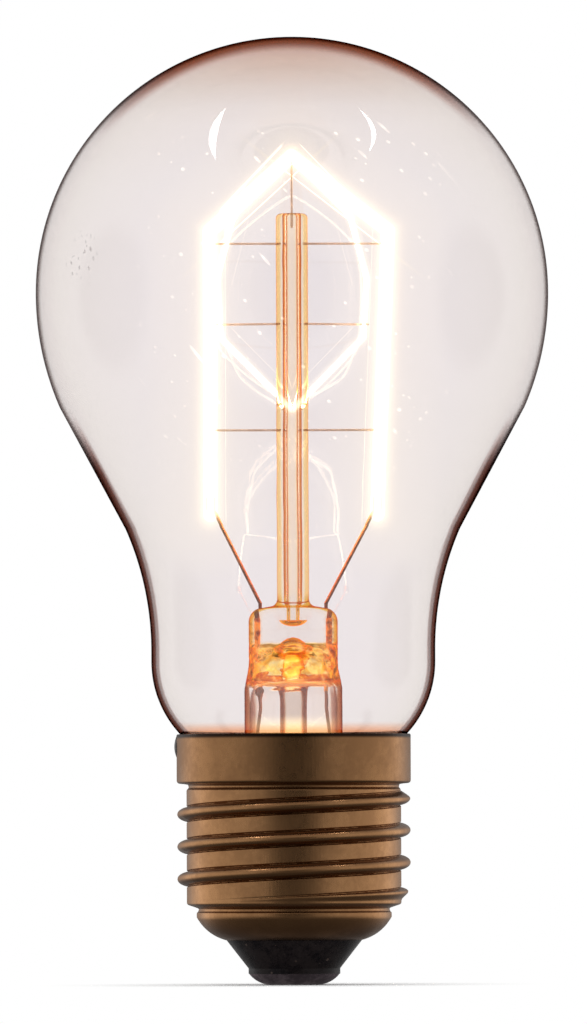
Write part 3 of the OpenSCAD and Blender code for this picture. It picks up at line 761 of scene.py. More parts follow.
def shellRings():
    # rings down the outside from the rim to the hole, and back up the inside
    s, steps = shell, shell["steps"]
    skirt, rim, low, wall = s["skirt"], s["rim"], s["skirtLow"], s["wall"]
    root, notch, high, foot = s["root"], s["notch"], s["threadHigh"], s["threadLow"]
    lip, lipTop = s["lip"], s["lipHeight"]
    corner, groove, hole = s["skirtCorner"], lip - s["groove"], (s["hole"], s["bottom"])
    # the rim, the skirt and the notch under it
    outside = arc((skirt - wall / 2, rim - wall / 2), wall / 2, 150, 0, 8)
    outside += [(skirt, between(rim - 0.4, low + 0.5, i / 8)) for i in range(9)]
    outside += arc((skirt - corner, low + corner), corner, 0, -80, 6)
    outside += [(root + 0.25, low - 0.05), (notch + 0.08, low - 0.12), (notch, high - 0.1)]
    outside += [(notch + 0.08, high - 0.25), (root - 0.05, high - 0.36)]
    # the thread's foot, the groove, the lip and the bowed bottom, and the same from inside
    below = arc((root - s["foot"], foot - 0.05), s["foot"], 0, -60, 4)
    below += [(groove + 0.12, lipTop + 0.42), (groove, lipTop + 0.28), (groove + 0.08, lipTop + 0.1)]
    below += arc((lip - s["lipCorner"], lipTop - s["lipCorner"]), s["lipCorner"], 80, 0, 4)
    below += bowed(hole, (lip, lipTop - 0.6), s["bulge"], s["bulgeSteps"])[::-1]
    inside = bowed(hole, (lip - wall, lipTop - 0.6), s["bulge"], s["bulgeSteps"])
    below += [(r, z + wall) for r, z in inside]
    below += [(lip - wall, lipTop), (groove - wall, lipTop + 0.3), (root - wall, foot - 0.2)]
    # inside of the notch and the skirt
    above = [(notch - wall, high - 0.1), (root - wall, low + wall), (skirt - wall - 0.3, low + wall)]
    above += [(skirt - wall, low + wall + 0.3), (skirt - wall, rim - 0.5)]
    top, rows, innerRows = high - 0.5, s["rows"], s["innerRows"]
    rings = [circle(r, z, steps) for r, z in outside]
    rings += [threadRow(between(top, foot, i / rows), 0) for i in range(rows + 1)]
    rings += [circle(r, z, steps) for r, z in below]
    rings += [threadRow(between(foot, top, i / innerRows), wall) for i in range(innerRows + 1)]
    return loft(rings + [circle(r, z, steps) for r, z in above], closed=True)


# Filament: one coiled wire, hung as an outer hairpin and an inner loop

filament = {
    "coil": 0.175,
    "wire": 0.05,
    "pitch": 0.24,
    "perTurn": 10,
    "wireSides": 5,
    "peakRise": 6.4,             # above the post's top
    "shoulderDrop": 2.0,
    "leftX": 9.2,
    "rightX": 10.8,
    "rightFootX": 9.5,
    "footRise": 10.4,            # above the press
    "topX": 6.56,
    "topRise": 1.7,
    "innerX": 8.0,
    "bow": 0.4,
    "bowRise": 0.7,
    "depth": 2.5,
    "cornerRise": 30.3,
    "loopRise": 22.2,
    "loopY": 3.0,
    "hookY": 1.2,
    "reach": 1.0,
    "glow": [                    # radius and light of each layer of light around the outer strands
        (0.85, (1.6, 1.45, 1.15)), (1.4, (0.26, 0.23, 0.15)), (1.9, (0.12, 0.10, 0.055)),
        (2.3, (0.07, 0.052, 0.024)), (3.3, (0.045, 0.032, 0.010)), (7.5, (0.06, 0.045, 0.006)),
    ],
    "glowStops": 18,
    "glowCrowding": 1.5,         # power that draws these stops to the wire
    "glowSoftness": 1.2,
    "glowStand": 1.7,            # how far the light stands off the wire, clear of hooks and clamps
    "heat": 14,                  # the wire's own light, and its tones
    "tones": [(0.3, (1.0, 0.80, 0.52)), (0.7, (1.0, 0.90, 0.70))],
    "toneScale": 300,
    "tungsten": (0.2, 0.15, 0.1),
    "mirrored": 0.4,             # share of the light in reflections
    "hearth": 0.2,               # strength of the lamps that warm the wires
    "hearthColour": (1.0, 0.5, 0.2),
    "hearthRadius": 3,
    "hearthX": 9,
    "hearthHeight": 66,
    "innerGlow": [
        (0.42, (0.9, 0.8, 0.6)), (0.8, (0.14, 0.12, 0.07)), (1.1, (0.05, 0.04, 0.02)),
    ],
}


def filamentCorners():
    f = filament
    shoulder, peak, foot = postTop - f["shoulderDrop"], postTop + f["peakRise"], pressTop + f["footRise"]
    corner, loop = pressTop + f["cornerRise"], pressTop + f["loopRise"]
    middle = (corner + shoulder) / 2 + f["bowRise"]
    right = [(f["topX"], f["depth"], shoulder + f["topRise"]), (f["innerX"] + f["bow"], f["depth"], middle),
             (f["innerX"], f["depth"], corner)]
    left = [(-x, y, z) for x, y, z in right[::-1]]
    start = [(-f["leftX"], 0, foot), (-f["leftX"], 0, shoulder), (0, f["hookY"], peak)]
    end = [(0, -f["hookY"], peak), (f["rightX"], 0, shoulder), (f["rightFootX"], 0, foot)]
    return start, right + [(0, f["loopY"], loop)] + left, end


def glowShade(tree, segments, layers):
    # light by the distance from a line of straight segments, as a soft tube of air around it would glow
    place = tree.nodes.new("ShaderNodeNewGeometry").outputs["Position"]
    nearest = None
    for a, b in segments:
        way = b - a
        offset = vectorMaths(tree, "SUBTRACT", place, a)
        along = vectorMaths(tree, "DOT_PRODUCT", offset, way / way.length_squared)
        foot = vectorMaths(tree, "SCALE", tuple(way), plus(tree, along, 0, True))
        off = vectorMaths(tree, "DISTANCE", offset, foot)
        nearest = off if nearest is None else maths(tree, "MINIMUM", nearest, off)
    reach = max(radius for radius, light in layers)
    strength = sum(max(light) for radius, light in layers)
    stops, last = [], filament["glowStops"] - 1
    for i in range(last + 1):
        t = (i / last) ** filament["glowCrowding"]
        tone = [0, 0, 0]
        for radius, light in layers:
            chord = max(0, 1 - (t * reach / radius) ** 2) ** filament["glowSoftness"]
            tone = [sum(pair) for pair in zip(tone, (chord * part for part in light))]
        stops.append((t, [part / strength for part in tone]))
    return ramp(tree, maths(tree, "DIVIDE", nearest, reach * mm), stops), strength


def mirroredShare(tree, strength):
    # a strength that falls off in what was reflected on its way
    depth = tree.nodes.new("ShaderNodeLightPath").outputs["Glossy Depth"]
    return mapRange(tree, depth, 0, 1, strength, strength * filament["mirrored"])


def glowLamp(name, place, way, facing, size, segments, layers, lit):
    # a thin sheet of light in the plane of way, which shows from the side that it faces
    lamp = newLamp(name, "AREA", lit, True)
    lamp.data.shape = "RECTANGLE"
    lamp.data.size, lamp.data.size_y = size
    lamp.data.energy = math.pi * size[0] * size[1]
    up = way.normalized()
    back = -(facing - up * facing.dot(up)).normalized()
    turn = Matrix((up.cross(back), up, back)).transposed()
    stand = -back * filament["glowStand"] * mm
    lamp.matrix_world = Matrix.Translation(place + stand) @ turn.to_4x4()
    lamp.data.use_nodes = True
    tree = lamp.data.node_tree
    surface = emptied(tree, "ShaderNodeOutputLight")
    glow = tree.nodes.new("ShaderNodeEmission")
    colour, strength = glowShade(tree, [(a + stand, b + stand) for a, b in segments], layers)
    link(tree, colour, glow.inputs["Color"])
    link(tree, mirroredShare(tree, strength), glow.inputs["Strength"])
    link(tree, glow.outputs[0], surface)


def collected(name, pieces):
    group = bpy.data.collections.new(name)
    for piece in pieces:
        group.objects.link(piece)
    return group


def makeHearth(lit):
    # the filament's own warm light on the wires, the cement and the cap's rim
    # the glass casts no shadow in it
    f = filament
    for side, sign in sides:
        lamp = newLamp("hearth." + side, "POINT", lit, False)
        lamp.light_linking.blocker_collection = lit
        lamp.data.energy = f["hearth"]
        lamp.data.color = f["hearthColour"]
        lamp.data.shadow_soft_size = f["hearthRadius"] * mm
        lamp.location = (sign * f["hearthX"] * mm, 0, f["hearthHeight"] * mm)


def makeGlow(name, corners, layers, lit):
    # a sheet to the front and one to the back for the whole line, and to the sides a strip for each stretch
    corners = [Vector(corner) * mm for corner in corners]
    segments = list(zip(corners, corners[1:]))
    reach = max(radius for radius, light in layers) * mm
    low, high = ([edge(c[i] for c in corners) for i in range(3)] for edge in (min, max))
    middle = Vector([(a + b) / 2 for a, b in zip(low, high)])
    size = (high[0] - low[0] + 2 * reach, high[2] - low[2] + 2 * reach)
    inPlane = [[Vector((p.x, middle.y, p.z)) for p in pair] for pair in segments]
    for side, sign in (("front", -1), ("back", 1)):
        facing = Vector((0, sign, 0))
        glowLamp("%s.%s" % (name, side), middle, Vector((0, 0, 1)), facing, size, inPlane, layers, lit)
    for side, sign in sides:
        facing = Vector((sign, 0, 0))
        for i, (a, b) in enumerate(segments):
            size = (2 * reach, (b - a).length + 2 * reach)
            glowLamp("%s.%s.%d" % (name, side, i), (a + b) / 2, b - a, facing, size, [(a, b)], layers, lit)


# Materials


def principled(name, values):
    # a new material, its tree and its shader's sockets, some of which get plain values
    material = bpy.data.materials.new(name)
    material.use_nodes = True
    tree = material.node_tree
    shader = tree.nodes["Principled BSDF"].inputs
    for label, value in values.items():
        link(tree, value, shader[label])
    return material, tree, shader


def noiseTexture(tree, vector, scale, detail=3, roughness=0.5):
    node = tree.nodes.new("ShaderNodeTexNoise")
    for name, value in (("Vector", vector), ("Scale", scale), ("Detail", detail), ("Roughness", roughness)):
        link(tree, value, node.inputs[name])
    return node.outputs[0]


def newGroup(name, given, results):
    group = bpy.data.node_groups.new(name, "ShaderNodeTree")
    for label, value in given.items():
        kind = "NodeSocketColor" if isinstance(value, tuple) else "NodeSocketFloat"
        group.interface.new_socket(name=label, in_out="INPUT", socket_type=kind).default_value = value
    for label, kind in results.items():
        group.interface.new_socket(name=label, in_out="OUTPUT", socket_type="NodeSocket" + kind)
    return group, group.nodes.new("NodeGroupInput").outputs, group.nodes.new("NodeGroupOutput").inputs


def useGroup(tree, group, values):
    node = tree.nodes.new("ShaderNodeGroup")
    node.node_tree = group
    for label, value in values.items():
        link(tree, value, node.inputs[label])
    return node.outputs


def makeTarnish():
    # stains of an aged colour over a clean one, in patches of about Patch mm; Spread is their share
    group, given, out = newGroup("tarnish", {
        "Clean": (0.5, 0.5, 0.5, 1), "Aged": (0.2, 0.2, 0.2, 1), "Patch": 3.0, "Spread": 0.5,
    }, {"Colour": "Color", "Mask": "Float"})
    place, scale = placeOf(group), maths(group, "DIVIDE", 1 / mm, given["Patch"])
    wide = noiseTexture(group, place, scale, 5, 0.62)
    fine = noiseTexture(group, place, times(group, scale, 6.0), 4, 0.6)
    blotch = plus(group, times(group, wide, 0.7), times(group, fine, 0.3))
    mask = times(group, maths(group, "SUBTRACT", blotch, 0.46), 6.0)
    mask = plus(group, mask, given["Spread"], True)
    link(group, mixColour(group, mask, given["Clean"], given["Aged"]), out["Colour"])
    link(group, mask, out["Mask"])
    return group


def makeGrain():
    # the fine unevenness of drawn or pressed metal, as a height and a tone round 0.5
    group, given, out = newGroup("fineGrain", {"Size": 0.2, "Stretch": 1.0},
                                 {"Height": "Float", "Tone": "Float"})
    x, y, z = separated(group, placeOf(group))
    drawn = combined(group, x, y, times(group, z, given["Stretch"]))
    tone = noiseTexture(group, drawn, maths(group, "DIVIDE", 1 / mm, given["Size"]), 3, 0.6)
    link(group, tone, out["Height"])
    link(group, tone, out["Tone"])
    return group


def makeSpecks():
    # scattered specks, one or none in each cell of Spacing mm, drawn out by Stretch along a tilted line
    group, given, out = newGroup("specks", {
        "Spacing": 2.0, "Size": 0.1, "Share": 0.3, "Stretch": 1.0, "Tilt": 0.0,
    }, {"Mask": "Float"})
    turn = group.nodes.new("ShaderNodeVectorRotate")
    turn.rotation_type = "Y_AXIS"
    link(group, placeOf(group), turn.inputs["Vector"])
    link(group, given["Tilt"], turn.inputs["Angle"])
    x, y, z = separated(group, turn.outputs[0])
    cells = group.nodes.new("ShaderNodeTexVoronoi")
    link(group, combined(group, x, y, maths(group, "DIVIDE", z, given["Stretch"])), cells.inputs["Vector"])
    link(group, maths(group, "DIVIDE", 1 / mm, given["Spacing"]), cells.inputs["Scale"])
    tone = separated(group, cells.outputs["Color"])
    present = maths(group, "LESS_THAN", tone["X"], given["Share"])
    near = maths(group, "LESS_THAN", cells.outputs["Distance"], times(group, given["Size"], tone["Y"]))
    link(group, times(group, present, near), out["Mask"])
    return group


tarnish, fineGrain, specks = makeTarnish(), makeGrain(), makeSpecks()


def bumped(tree, shader, height, depth):
    bump = tree.nodes.new("ShaderNodeBump")
    for name, value in (("Strength", 1), ("Distance", depth * mm), ("Height", height)):
        link(tree, value, bump.inputs[name])
    link(tree, bump.outputs[0], shader["Normal"])


def glowing(material, shader, colour, strength):
    # emission on the piece, which isn't sampled as a lamp: the hot wire's own light, and painted light on the
    # glass and the sealed wires
    link(material.node_tree, colour, shader["Emission Color"])
    link(material.node_tree, strength, shader["Emission Strength"])
    material.cycles.emission_sampling = "NONE"


def facingOf(tree):
    node = tree.nodes.new("ShaderNodeLayerWeight")
    link(tree, 0.5, node.inputs["Blend"])
    return node.outputs["Facing"]


def heightOf(tree):
    # height above the foot in metres, and the place itself
    place = placeOf(tree)
    return separated(tree, place)["Z"], place


def heightBand(tree, height, heights):
    # 1 between the middle two heights, falling to 0 at the outer two
    a, b, c, d = heights
    return times(tree, mapRange(tree, height, a, b), mapRange(tree, height, c, d, 1, 0))


clearGlass = {"Roughness": 0.0, "Transmission Weight": 1, "IOR": 1.5}

bulbGlassLook = {
    "edge": [                    # painted shade: tint by how far the wall turns away from the eye
        (0.0, (0.932, 0.896, 0.905)), (0.60, (0.935, 0.905, 0.875)), (0.80, (0.90, 0.85, 0.83)),
        (0.90, (0.84, 0.77, 0.74)), (1.0, (0.76, 0.66, 0.62)),
    ],
    "neckBrown": (0.77, 0.645, 0.61),    # painted shade where the wall of the neck or the crown turns away
    "crownBrown": (0.88, 0.73, 0.65),
    "neckHeights": (0.057, 0.065),       # all heights and reaches of the looks are in metres
    "neckTurn": (0.71, 0.77),
    "crownHeights": (0.094, 0.104),
    "crownTurn": (0.66, 0.80),
    "seam": (1.0, 0.72, 0.56),   # the brass' warm light in the glass, from the rim up
    "seamHeights": (0.0283, 0.0296),
    "crown": [                   # the crown is browner, from the height of crownFrom up
        (0.0, (1.0, 1.0, 1.0)), (0.46, (0.99, 0.98, 0.975)), (0.60, (0.95, 0.925, 0.91)),
        (0.80, (0.89, 0.80, 0.75)), (0.91, (0.83, 0.66, 0.58)), (1.0, (0.70, 0.44, 0.30)),
    ],
    "crownFrom": 0.090,
    "dustAt": (-0.0236, -0.0161, 0.0808),    # a patch of dust on the front of the globe
    "dustReach": (0.0012, 0.0042),
    "dust": (0.55, 0.53, 0.53),
    "grit": {"Spacing": 0.5, "Size": 0.42, "Share": 0.5, "Stretch": 1.8, "Tilt": 0.5},
    "dots": {"Spacing": 1.5, "Size": 0.15, "Share": 0.5, "Stretch": 1.5, "Tilt": 0.9},
    "scratches": {"Spacing": 2.2, "Size": 0.11, "Share": 0.65, "Stretch": 8.0, "Tilt": 0.7},
    "sparkle": (0.9, 0.8, 0.66),         # specks and scratches that catch the filament's light
    "sparkleStrength": 0.3,
    "sparkleHeights": (0.052, 0.070, 0.092, 0.100),
    "sparkleReach": (0.010, 0.020),
}


def coated(tree, shader, weight, tint):
    # a coat that only tints, and neither bends nor reflects
    for name, value in (("Roughness", 0.0), ("IOR", 1.0), ("Weight", weight), ("Tint", tint)):
        link(tree, value, shader["Coat " + name])


def bulbGlass():
    look = bulbGlassLook
    material, tree, shader = principled("bulbGlass", clearGlass)
    facing = facingOf(tree)
    height, place = heightOf(tree)
    high = mapRange(tree, height, *look["crownHeights"])
    low = mapRange(tree, height, *look["neckHeights"], 1, 0)
    # painted shade: a brown coat where the wall of the neck and the crown turns away
    neck = times(tree, low, mapRange(tree, facing, *look["neckTurn"]))
    crown = times(tree, high, mapRange(tree, facing, *look["crownTurn"]))
    brown = mixColour(tree, high, look["neckBrown"], look["crownBrown"])
    coated(tree, shader, plus(tree, neck, crown), brown)
    # painted shade by how far the wall turns away, and the brass' painted warm light from the rim up
    seam = mapRange(tree, height, *look["seamHeights"], 1, 0)
    tint = tinted(tree, seam, ramp(tree, facing, look["edge"]), look["seam"])
    rise = maths(tree, "SUBTRACT", height, look["crownFrom"])
    rise = maths(tree, "DIVIDE", rise, lampHeight - look["crownFrom"])
    tint = tinted(tree, 1.0, tint, ramp(tree, rise, look["crown"]))
    patch = mapRange(tree, vectorMaths(tree, "DISTANCE", place, look["dustAt"]), *look["dustReach"], 1, 0)
    grit, dots, scratches = (useGroup(tree, specks, look[part])["Mask"] for part in
                             ("grit", "dots", "scratches"))
    link(tree, tinted(tree, times(tree, grit, patch), tint, look["dust"]), shader["Base Color"])
    # what sparkles lies round the filament
    aside = mapRange(tree, maths(tree, "ABSOLUTE", separated(tree, place)["X"]), *look["sparkleReach"], 1, 0)
    near = times(tree, heightBand(tree, height, look["sparkleHeights"]), aside)
    shown = times(tree, maths(tree, "MAXIMUM", dots, scratches), near)
    glowing(material, shader, mixColour(tree, shown, (0, 0, 0), look["sparkle"]), look["sparkleStrength"])
    return material


stemGlassLook = {
    "postHeights": (0.0425, 0.0445),
    "flareHeights": (0.0332, 0.0346),
    "post": [                    # painted shade and warm light: tint by how far the glass turns away from the eye, on the post
        (0.0, (0.985, 0.94, 0.88)), (0.12, (0.98, 0.92, 0.79)), (0.30, (0.96, 0.86, 0.62)),
        (0.60, (0.94, 0.84, 0.60)), (0.86, (0.86, 0.68, 0.42)), (1.0, (0.55, 0.31, 0.14)),
    ],
    "press": [                   # on the press
        (0.0, (0.985, 0.955, 0.92)), (0.16, (0.98, 0.93, 0.84)), (0.30, (0.94, 0.79, 0.54)),
        (0.46, (0.84, 0.60, 0.31)), (0.70, (0.75, 0.48, 0.20)), (1.0, (0.72, 0.42, 0.15)),
    ],
    "flare": [                   # and on the flare and the exhaust tube
        (0.0, (0.985, 0.955, 0.93)), (0.34, (0.975, 0.93, 0.88)), (0.44, (0.85, 0.68, 0.58)),
        (0.54, (0.62, 0.43, 0.34)), (0.75, (0.50, 0.31, 0.23)), (1.0, (0.40, 0.20, 0.13)),
    ],
    "slim": (0.002, 0.003),      # radius of the exhaust tube
    "slimFacing": 0.2,           # how much sooner that turns away
    "meltPaintedLight": [                    # painted highlights, warm light and shade in patches, on the glass that melted together between the press and the flare
        (0.34, (1.0, 0.94, 0.64)), (0.44, (1.0, 0.77, 0.24)), (0.54, (1.0, 0.58, 0.10)),
        (0.64, (0.80, 0.40, 0.08)),
    ],
    "meltHeights": (0.0337, 0.0343, 0.0376, 0.0386),
    "meltPatch": 1.5,            # mm
    "meltPaintedGlow": [
        (0.38, (0.50, 0.38, 0.12)), (0.48, (0.16, 0.10, 0.01)), (0.60, (0.03, 0.012, 0.0)),
    ],
    "seal": [                    # tones of the glass round the wires that are sealed in
        (0.36, (0.50, 0.22, 0.06)), (0.46, (1.0, 0.52, 0.14)), (0.60, (1.0, 0.68, 0.30)),
    ],
    "sealFrom": (0.0033, 0.0040),
    "sealHeights": (0.0335, 0.0345, 0.0412, 0.0420),
    "core": (0.0021, 0.0024),    # radius of the hollows in the middle of the press
    "coreHeights": (0.0362, 0.0366, 0.0412, 0.0416),
    "corePaintedGlow": [
        (0.35, (0.01, 0.005, 0.0)), (0.65, (0.36, 0.24, 0.04)), (0.85, (0.62, 0.45, 0.11)),
        (0.94, (1.4, 1.15, 0.55)),
    ],
    "roof": (0.0049, 0.0052),    # and of the underside of the press, which has a painted highlight line at its edge
    "roofHeights": (0.0334, 0.0336, 0.0340, 0.0343),
    "roofPaintedGlow": (0.30, 0.20, 0.08),
    "amber": (0.97, 0.80, 0.42), # painted warm light: tint of what runs along inside the glass
    "amberFacing": (0.22, 0.38),
    "umber": (0.84, 0.62, 0.50), # painted shade, inside the flare and the exhaust tube
    "umberFacing": (0.40, 0.56),
    "bore": (0.0009, 0.0012),    # radius of the post's bore, where painted shade darkens it
    "boreTint": (0.85, 0.48, 0.17),
    "postAmber": 0.65,           # share of the amber on the outside of the post
    "postPaintedGlow": [              # painted glow: the filament's light that the glass carries, in the post
        (0.0, (0.02, 0.01, 0.0)), (0.3, (0.04, 0.022, 0.002)), (0.7, (0.09, 0.06, 0.012)),
        (0.88, (0.24, 0.17, 0.05)), (1.0, (0.06, 0.03, 0.0)),
    ],
    "pressPaintedGlow": [
        (0.0, (0.006, 0.002, 0.0)), (0.3, (0.03, 0.014, 0.0)), (0.6, (0.08, 0.045, 0.004)),
        (0.9, (0.14, 0.08, 0.01)), (1.0, (0.25, 0.16, 0.03)),
    ],
    "flarePaintedGlow": (0.004, 0.001, 0.0),
    "rimPaintedGlow": (0.10, 0.085, 0.035),   # painted glow, by the cap's rim
    "rimHeights": (0.0288, 0.0305),
}


def stemGlass():
    look = stemGlassLook
    material, tree, shader = principled("stemGlass", clearGlass)
    facing = facingOf(tree)
    height, place = heightOf(tree)
    parts = separated(tree, place)
    aside = maths(tree, "ABSOLUTE", parts["X"])
    radius = plus(tree, times(tree, aside, aside), times(tree, parts["Y"], parts["Y"]))
    radius = maths(tree, "SQRT", radius)

    def within(part):
        # the part's heights, inside its radius
        band = heightBand(tree, height, look[part + "Heights"])
        return times(tree, band, mapRange(tree, radius, *look[part], 1, 0))

    def patches(fineness, detail, stops):
        return ramp(tree, noiseTexture(tree, place, fineness / mm / look["meltPatch"], detail), look[stops])

    high = mapRange(tree, height, *look["postHeights"])
    low = mapRange(tree, height, *look["flareHeights"], 1, 0)
    turned = plus(tree, facing, mapRange(tree, radius, *look["slim"], look["slimFacing"], 0))
    meltPaintedLight = heightBand(tree, height, look["meltHeights"])
    seal = heightBand(tree, height, look["sealHeights"])
    seal = times(tree, seal, mapRange(tree, aside, *look["sealFrom"]))
    # painted shade and warm light: tints by how far the glass turns away, on the press, the post and the
    # flare
    tint = mixColour(tree, high, ramp(tree, facing, look["press"]), ramp(tree, facing, look["post"]))
    tint = mixColour(tree, low, tint, ramp(tree, turned, look["flare"]))
    # painted highlights, warm light and shade in patches on the melted glass
    tint = tinted(tree, meltPaintedLight, tint, patches(1, 3, "meltPaintedLight"))
    link(tree, tinted(tree, seal, tint, patches(2, 2, "seal")), shader["Base Color"])
    # painted warm light and shade in a coat by how far the glass turns away, darker at the post's bore
    amber = mapRange(tree, facing, *look["amberFacing"])
    umber = mapRange(tree, turned, *look["umberFacing"])
    bore = times(tree, high, mapRange(tree, radius, *look["bore"], 1, 0))
    outside = mapRange(tree, maths(tree, "SUBTRACT", high, bore), 0, 1, 1, look["postAmber"])
    amber = times(tree, times(tree, amber, outside), maths(tree, "SUBTRACT", 1.0, low))
    coat = mixColour(tree, low, mixColour(tree, bore, look["amber"], look["boreTint"]), look["umber"])
    coated(tree, shader, plus(tree, amber, times(tree, umber, low)), coat)
    # painted glow: emission that stands in for the filament's light carried in the stem's glass
    paintedGlow = [ramp(tree, facing, look[part]) for part in ("pressPaintedGlow", "postPaintedGlow")]
    paintedGlow = mixColour(tree, high, *paintedGlow)
    rim = mapRange(tree, height, *look["rimHeights"], 1, 0)
    for share, light in (
        (meltPaintedLight, patches(1.3, 3, "meltPaintedGlow")),
        (within("core"), ramp(tree, facing, look["corePaintedGlow"])),
        (low, look["flarePaintedGlow"]),
        (within("roof"), look["roofPaintedGlow"]),
        (rim, look["rimPaintedGlow"]),
    ):
        paintedGlow = mixColour(tree, share, paintedGlow, light)
    glowing(material, shader, paintedGlow, 1)
    return material


def hotWire():
    f = filament
    material, tree, shader = principled("hotTungsten", {"Base Color": f["tungsten"]})
    heat = noiseTexture(tree, placeOf(tree), f["toneScale"], 2)
    glowing(material, shader, ramp(tree, heat, f["tones"]), mirroredShare(tree, f["heat"]))
    return material


metals = {
    # clean and aged colour, size of the stains in mm, how far they spread, roughness,
    # size of the grain in mm, how much it is drawn out upwards, metallic
    "lead_wire": ("brownedNickel", (0.36, 0.12, 0.045), (0.17, 0.05, 0.02), 1.5, 0.5, 0.34, 0.1, 1, 0.5),
    "seal_wire": ("copperCladWire", (0.66, 0.20, 0.05), (0.34, 0.09, 0.025), 1.2, 0.5, 0.4, 0.1, 1, 0.3),
    "outer_lead": ("dullCopper", (0.56, 0.25, 0.13), (0.36, 0.15, 0.08), 1.5, 0.5, 0.45, 0.1, 1, 0.3),
    "support_wire": ("brownedMolybdenum", (0.92, 0.70, 0.56), (0.78, 0.53, 0.40), 1.5, 0.5, 0.4, 0.1, 1, 0.2),
    "cap_brass": ("agedBrass", (0.61, 0.315, 0.14), (0.51, 0.26, 0.115), 4.0, 0.4, 0.30, 0.22, 0.12, 1),
    "contact_metal": ("tinnedContact", (0.42, 0.33, 0.36), (0.20, 0.155, 0.175), 2.0, 0.5, 0.5, 0.2, 1, 1),
    "solder": ("dullSolder", (0.26, 0.25, 0.25), (0.12, 0.11, 0.11), 1.0, 0.5, 0.5, 0.2, 1, 1),
}


metalSurface = {
    "roughness": 0.12,           # what the stains and the grain each add
    "depth": 0.04,               # of the grain, as a share of its size
}


def metal(name, clean, aged, patch, spread, roughness, grain, drawn, metallic):
    material, tree, shader = principled(name, {"Metallic": metallic})
    stains = useGroup(tree, tarnish, {"Clean": clean, "Aged": aged, "Patch": patch, "Spread": spread})
    fine = useGroup(tree, fineGrain, {"Size": grain, "Stretch": drawn})
    vary = metalSurface["roughness"]
    rough = plus(tree, times(tree, stains["Mask"], vary), roughness - vary)
    rough = plus(tree, rough, times(tree, fine["Tone"], vary))
    link(tree, stains["Colour"], shader["Base Color"])
    link(tree, rough, shader["Roughness"])
    bumped(tree, shader, fine["Height"], grain * metalSurface["depth"])
    return material


capShade = {
    "rim": (0.035, 0.02, 0.014),         # the dark line along the rim: painted shade of its rounded edge, and dark patina
    "rimHeights": (0.02755, 0.02790),
    "skirt": (0.80, 0.79, 0.78),         # the skirt's colour is a little darker than the thread's
    "skirtHeights": (0.0222, 0.0228),
    "paintedFlankShade": (0.46, 0.44, 0.46),         # painted shade on the thread's flanks and the underside, by how far they face up or down
    "flankTurn": (0.30, 0.85),
}


def shadeCap(material):
    # painted shade in the cap's colour: the flanks, the underside and the rim line are darkened, and the
    # stains colour below carries that shade too
    look, tree = capShade, material.node_tree
    colour = tree.nodes["Principled BSDF"].inputs["Base Color"]
    stains, height = colour.links[0].from_socket, heightOf(tree)[0]
    normal = tree.nodes.new("ShaderNodeNewGeometry").outputs["Normal"]
    turn = maths(tree, "ABSOLUTE", separated(tree, normal)["Z"])
    stains = tinted(tree, mapRange(tree, height, *look["skirtHeights"]), stains, look["skirt"])
    # painted shade on the thread's flanks and the underside, where the surface faces up or down
    stains = tinted(tree, mapRange(tree, turn, *look["flankTurn"]), stains, look["paintedFlankShade"])
    # a dark line along the rim: painted shade of the rounded edge, and dark patina
    rim = mapRange(tree, height, *look["rimHeights"])
    link(tree, mixColour(tree, rim, stains, look["rim"]), colour)


sealLight = {
    "spot": 0.7,                 # mm
    "tones": [(0.42, (0.02, 0.006, 0.0)), (0.58, (0.78, 0.33, 0.035))],
    "strength": 0.8,
}


def lightSeal(material):
    # the stem's warm light, as it lies in spots on the wires that are sealed in the press
    tree = material.node_tree
    spots = noiseTexture(tree, placeOf(tree), 1 / mm / sealLight["spot"], 2)
    shader = tree.nodes["Principled BSDF"].inputs
    glowing(material, shader, ramp(tree, spots, sealLight["tones"]), sealLight["strength"])


insulator = {
    "stains": {"Clean": (0.004, 0.003, 0.004), "Aged": (0.014, 0.010, 0.010), "Patch": 2.5, "Spread": 0.35},
    "specks": {"Spacing": 0.9, "Size": 0.25, "Share": 0.3},
    "speckColour": (0.05, 0.035, 0.03),
    "shader": {"Roughness": 0.16, "Specular IOR Level": 0.14},
    "stainRoughness": 0.2,       # what the stains add to the roughness
    "grain": 0.6,
    "grainDepth": 0.03,
}

cement = {
    "stains": {"Clean": (0.50, 0.42, 0.31), "Aged": (0.32, 0.25, 0.17), "Patch": 1.5, "Spread": 0.5},
    "specks": {"Spacing": 0.35, "Size": 0.4, "Share": 0.5},
    "speckColour": (0.62, 0.55, 0.44),
    "shader": {"Roughness": 0.9},
    "grain": 0.3,
    "grainDepth": 0.08,
}


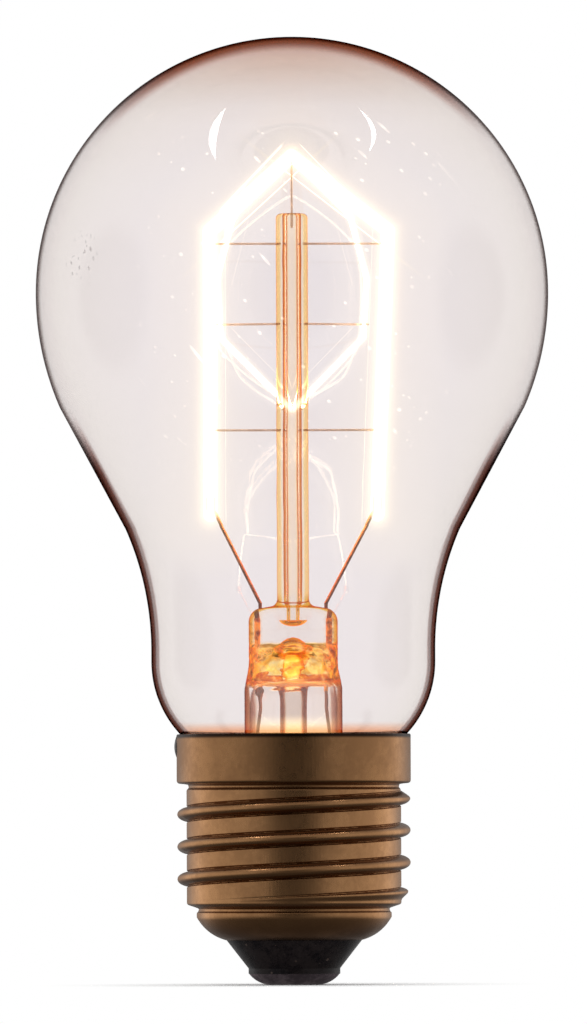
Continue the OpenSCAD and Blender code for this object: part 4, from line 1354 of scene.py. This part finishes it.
def speckled(name, look):
    # the black glass or the cement, stained and with specks in it
    material, tree, shader = principled(name, look["shader"])
    stains = useGroup(tree, tarnish, look["stains"])
    dirt = useGroup(tree, specks, look["specks"])["Mask"]
    link(tree, mixColour(tree, dirt, stains["Colour"], look["speckColour"]), shader["Base Color"])
    if "stainRoughness" in look:
        rough = times(tree, stains["Mask"], look["stainRoughness"])
        link(tree, plus(tree, rough, look["shader"]["Roughness"]), shader["Roughness"])
    bumped(tree, shader, useGroup(tree, fineGrain, {"Size": look["grain"]})["Height"], look["grainDepth"])
    return material


slots = {slot: metal(*values) for slot, values in metals.items()}
shadeCap(slots["cap_brass"])
lightSeal(slots["seal_wire"])
slots["bulb_glass"] = bulbGlass()
slots["stem_glass"] = stemGlass()
slots["filament_wire"] = hotWire()
slots["insulator_glass"] = speckled("blackGlass", insulator)
slots["cement"] = speckled("bakedCement", cement)
print("materials made")

# The pieces

nodes = frame["nodes"]
sharpFrom = math.radians(35)
for part in frame["record"]["subparts"]:
    data = nodes[part["node"]].data
    data.materials.clear()
    data.materials.append(slots[part["material_slot"]])
    data.shade_smooth()
    data.set_sharp_from_angle(angle=sharpFrom)

outline = bulbOutline(0) + bulbOutline(1)[::-1]
glass = newPiece("glassBulb", revolve(outline, bulb["steps"]), "bulb_glass", "glass_bulb")
print("glass bulb made")

outside = loft(postRings() + pressRings() + flareRings() + exhaustRings())
stemPiece = newPiece("stemGlass", joined(outside, stemHollow()), "stem_glass",
                     "stem_flare", "stem_press", "exhaust_tube", "centre_post")
print("stem made")

start, loop, end = filamentCorners()
path = rounded(start + loop + end, filament["reach"])
wire = coilAlong(path, filament["coil"], filament["pitch"], filament["perTurn"])
newPiece("coiledFilament", tube(wire, filament["wire"], filament["wireSides"]), "filament_wire", "filament")
print("filament made,", len(wire) // filament["perTurn"], "turns")

newPiece("brassShell", shellRings(), "cap_brass", "screw_shell")
print("screw shell made")

glassPieces = collected("glassPieces", [glass, stemPiece])
warmPieces = collected("warmPieces", [nodes[name] for name in nodes if "lead" in name or "wire" in name])
makeGlow("glow.outer", start[:2] + [(0, 0, start[2][2])] + end[1:], filament["glow"], glassPieces)
makeGlow("glow.inner", [start[2]] + loop + [end[0]], filament["innerGlow"], glassPieces)
makeHearth(warmPieces)
makeGlints(bulb["globe"], bulb["globeHeight"])
print("lamps made")
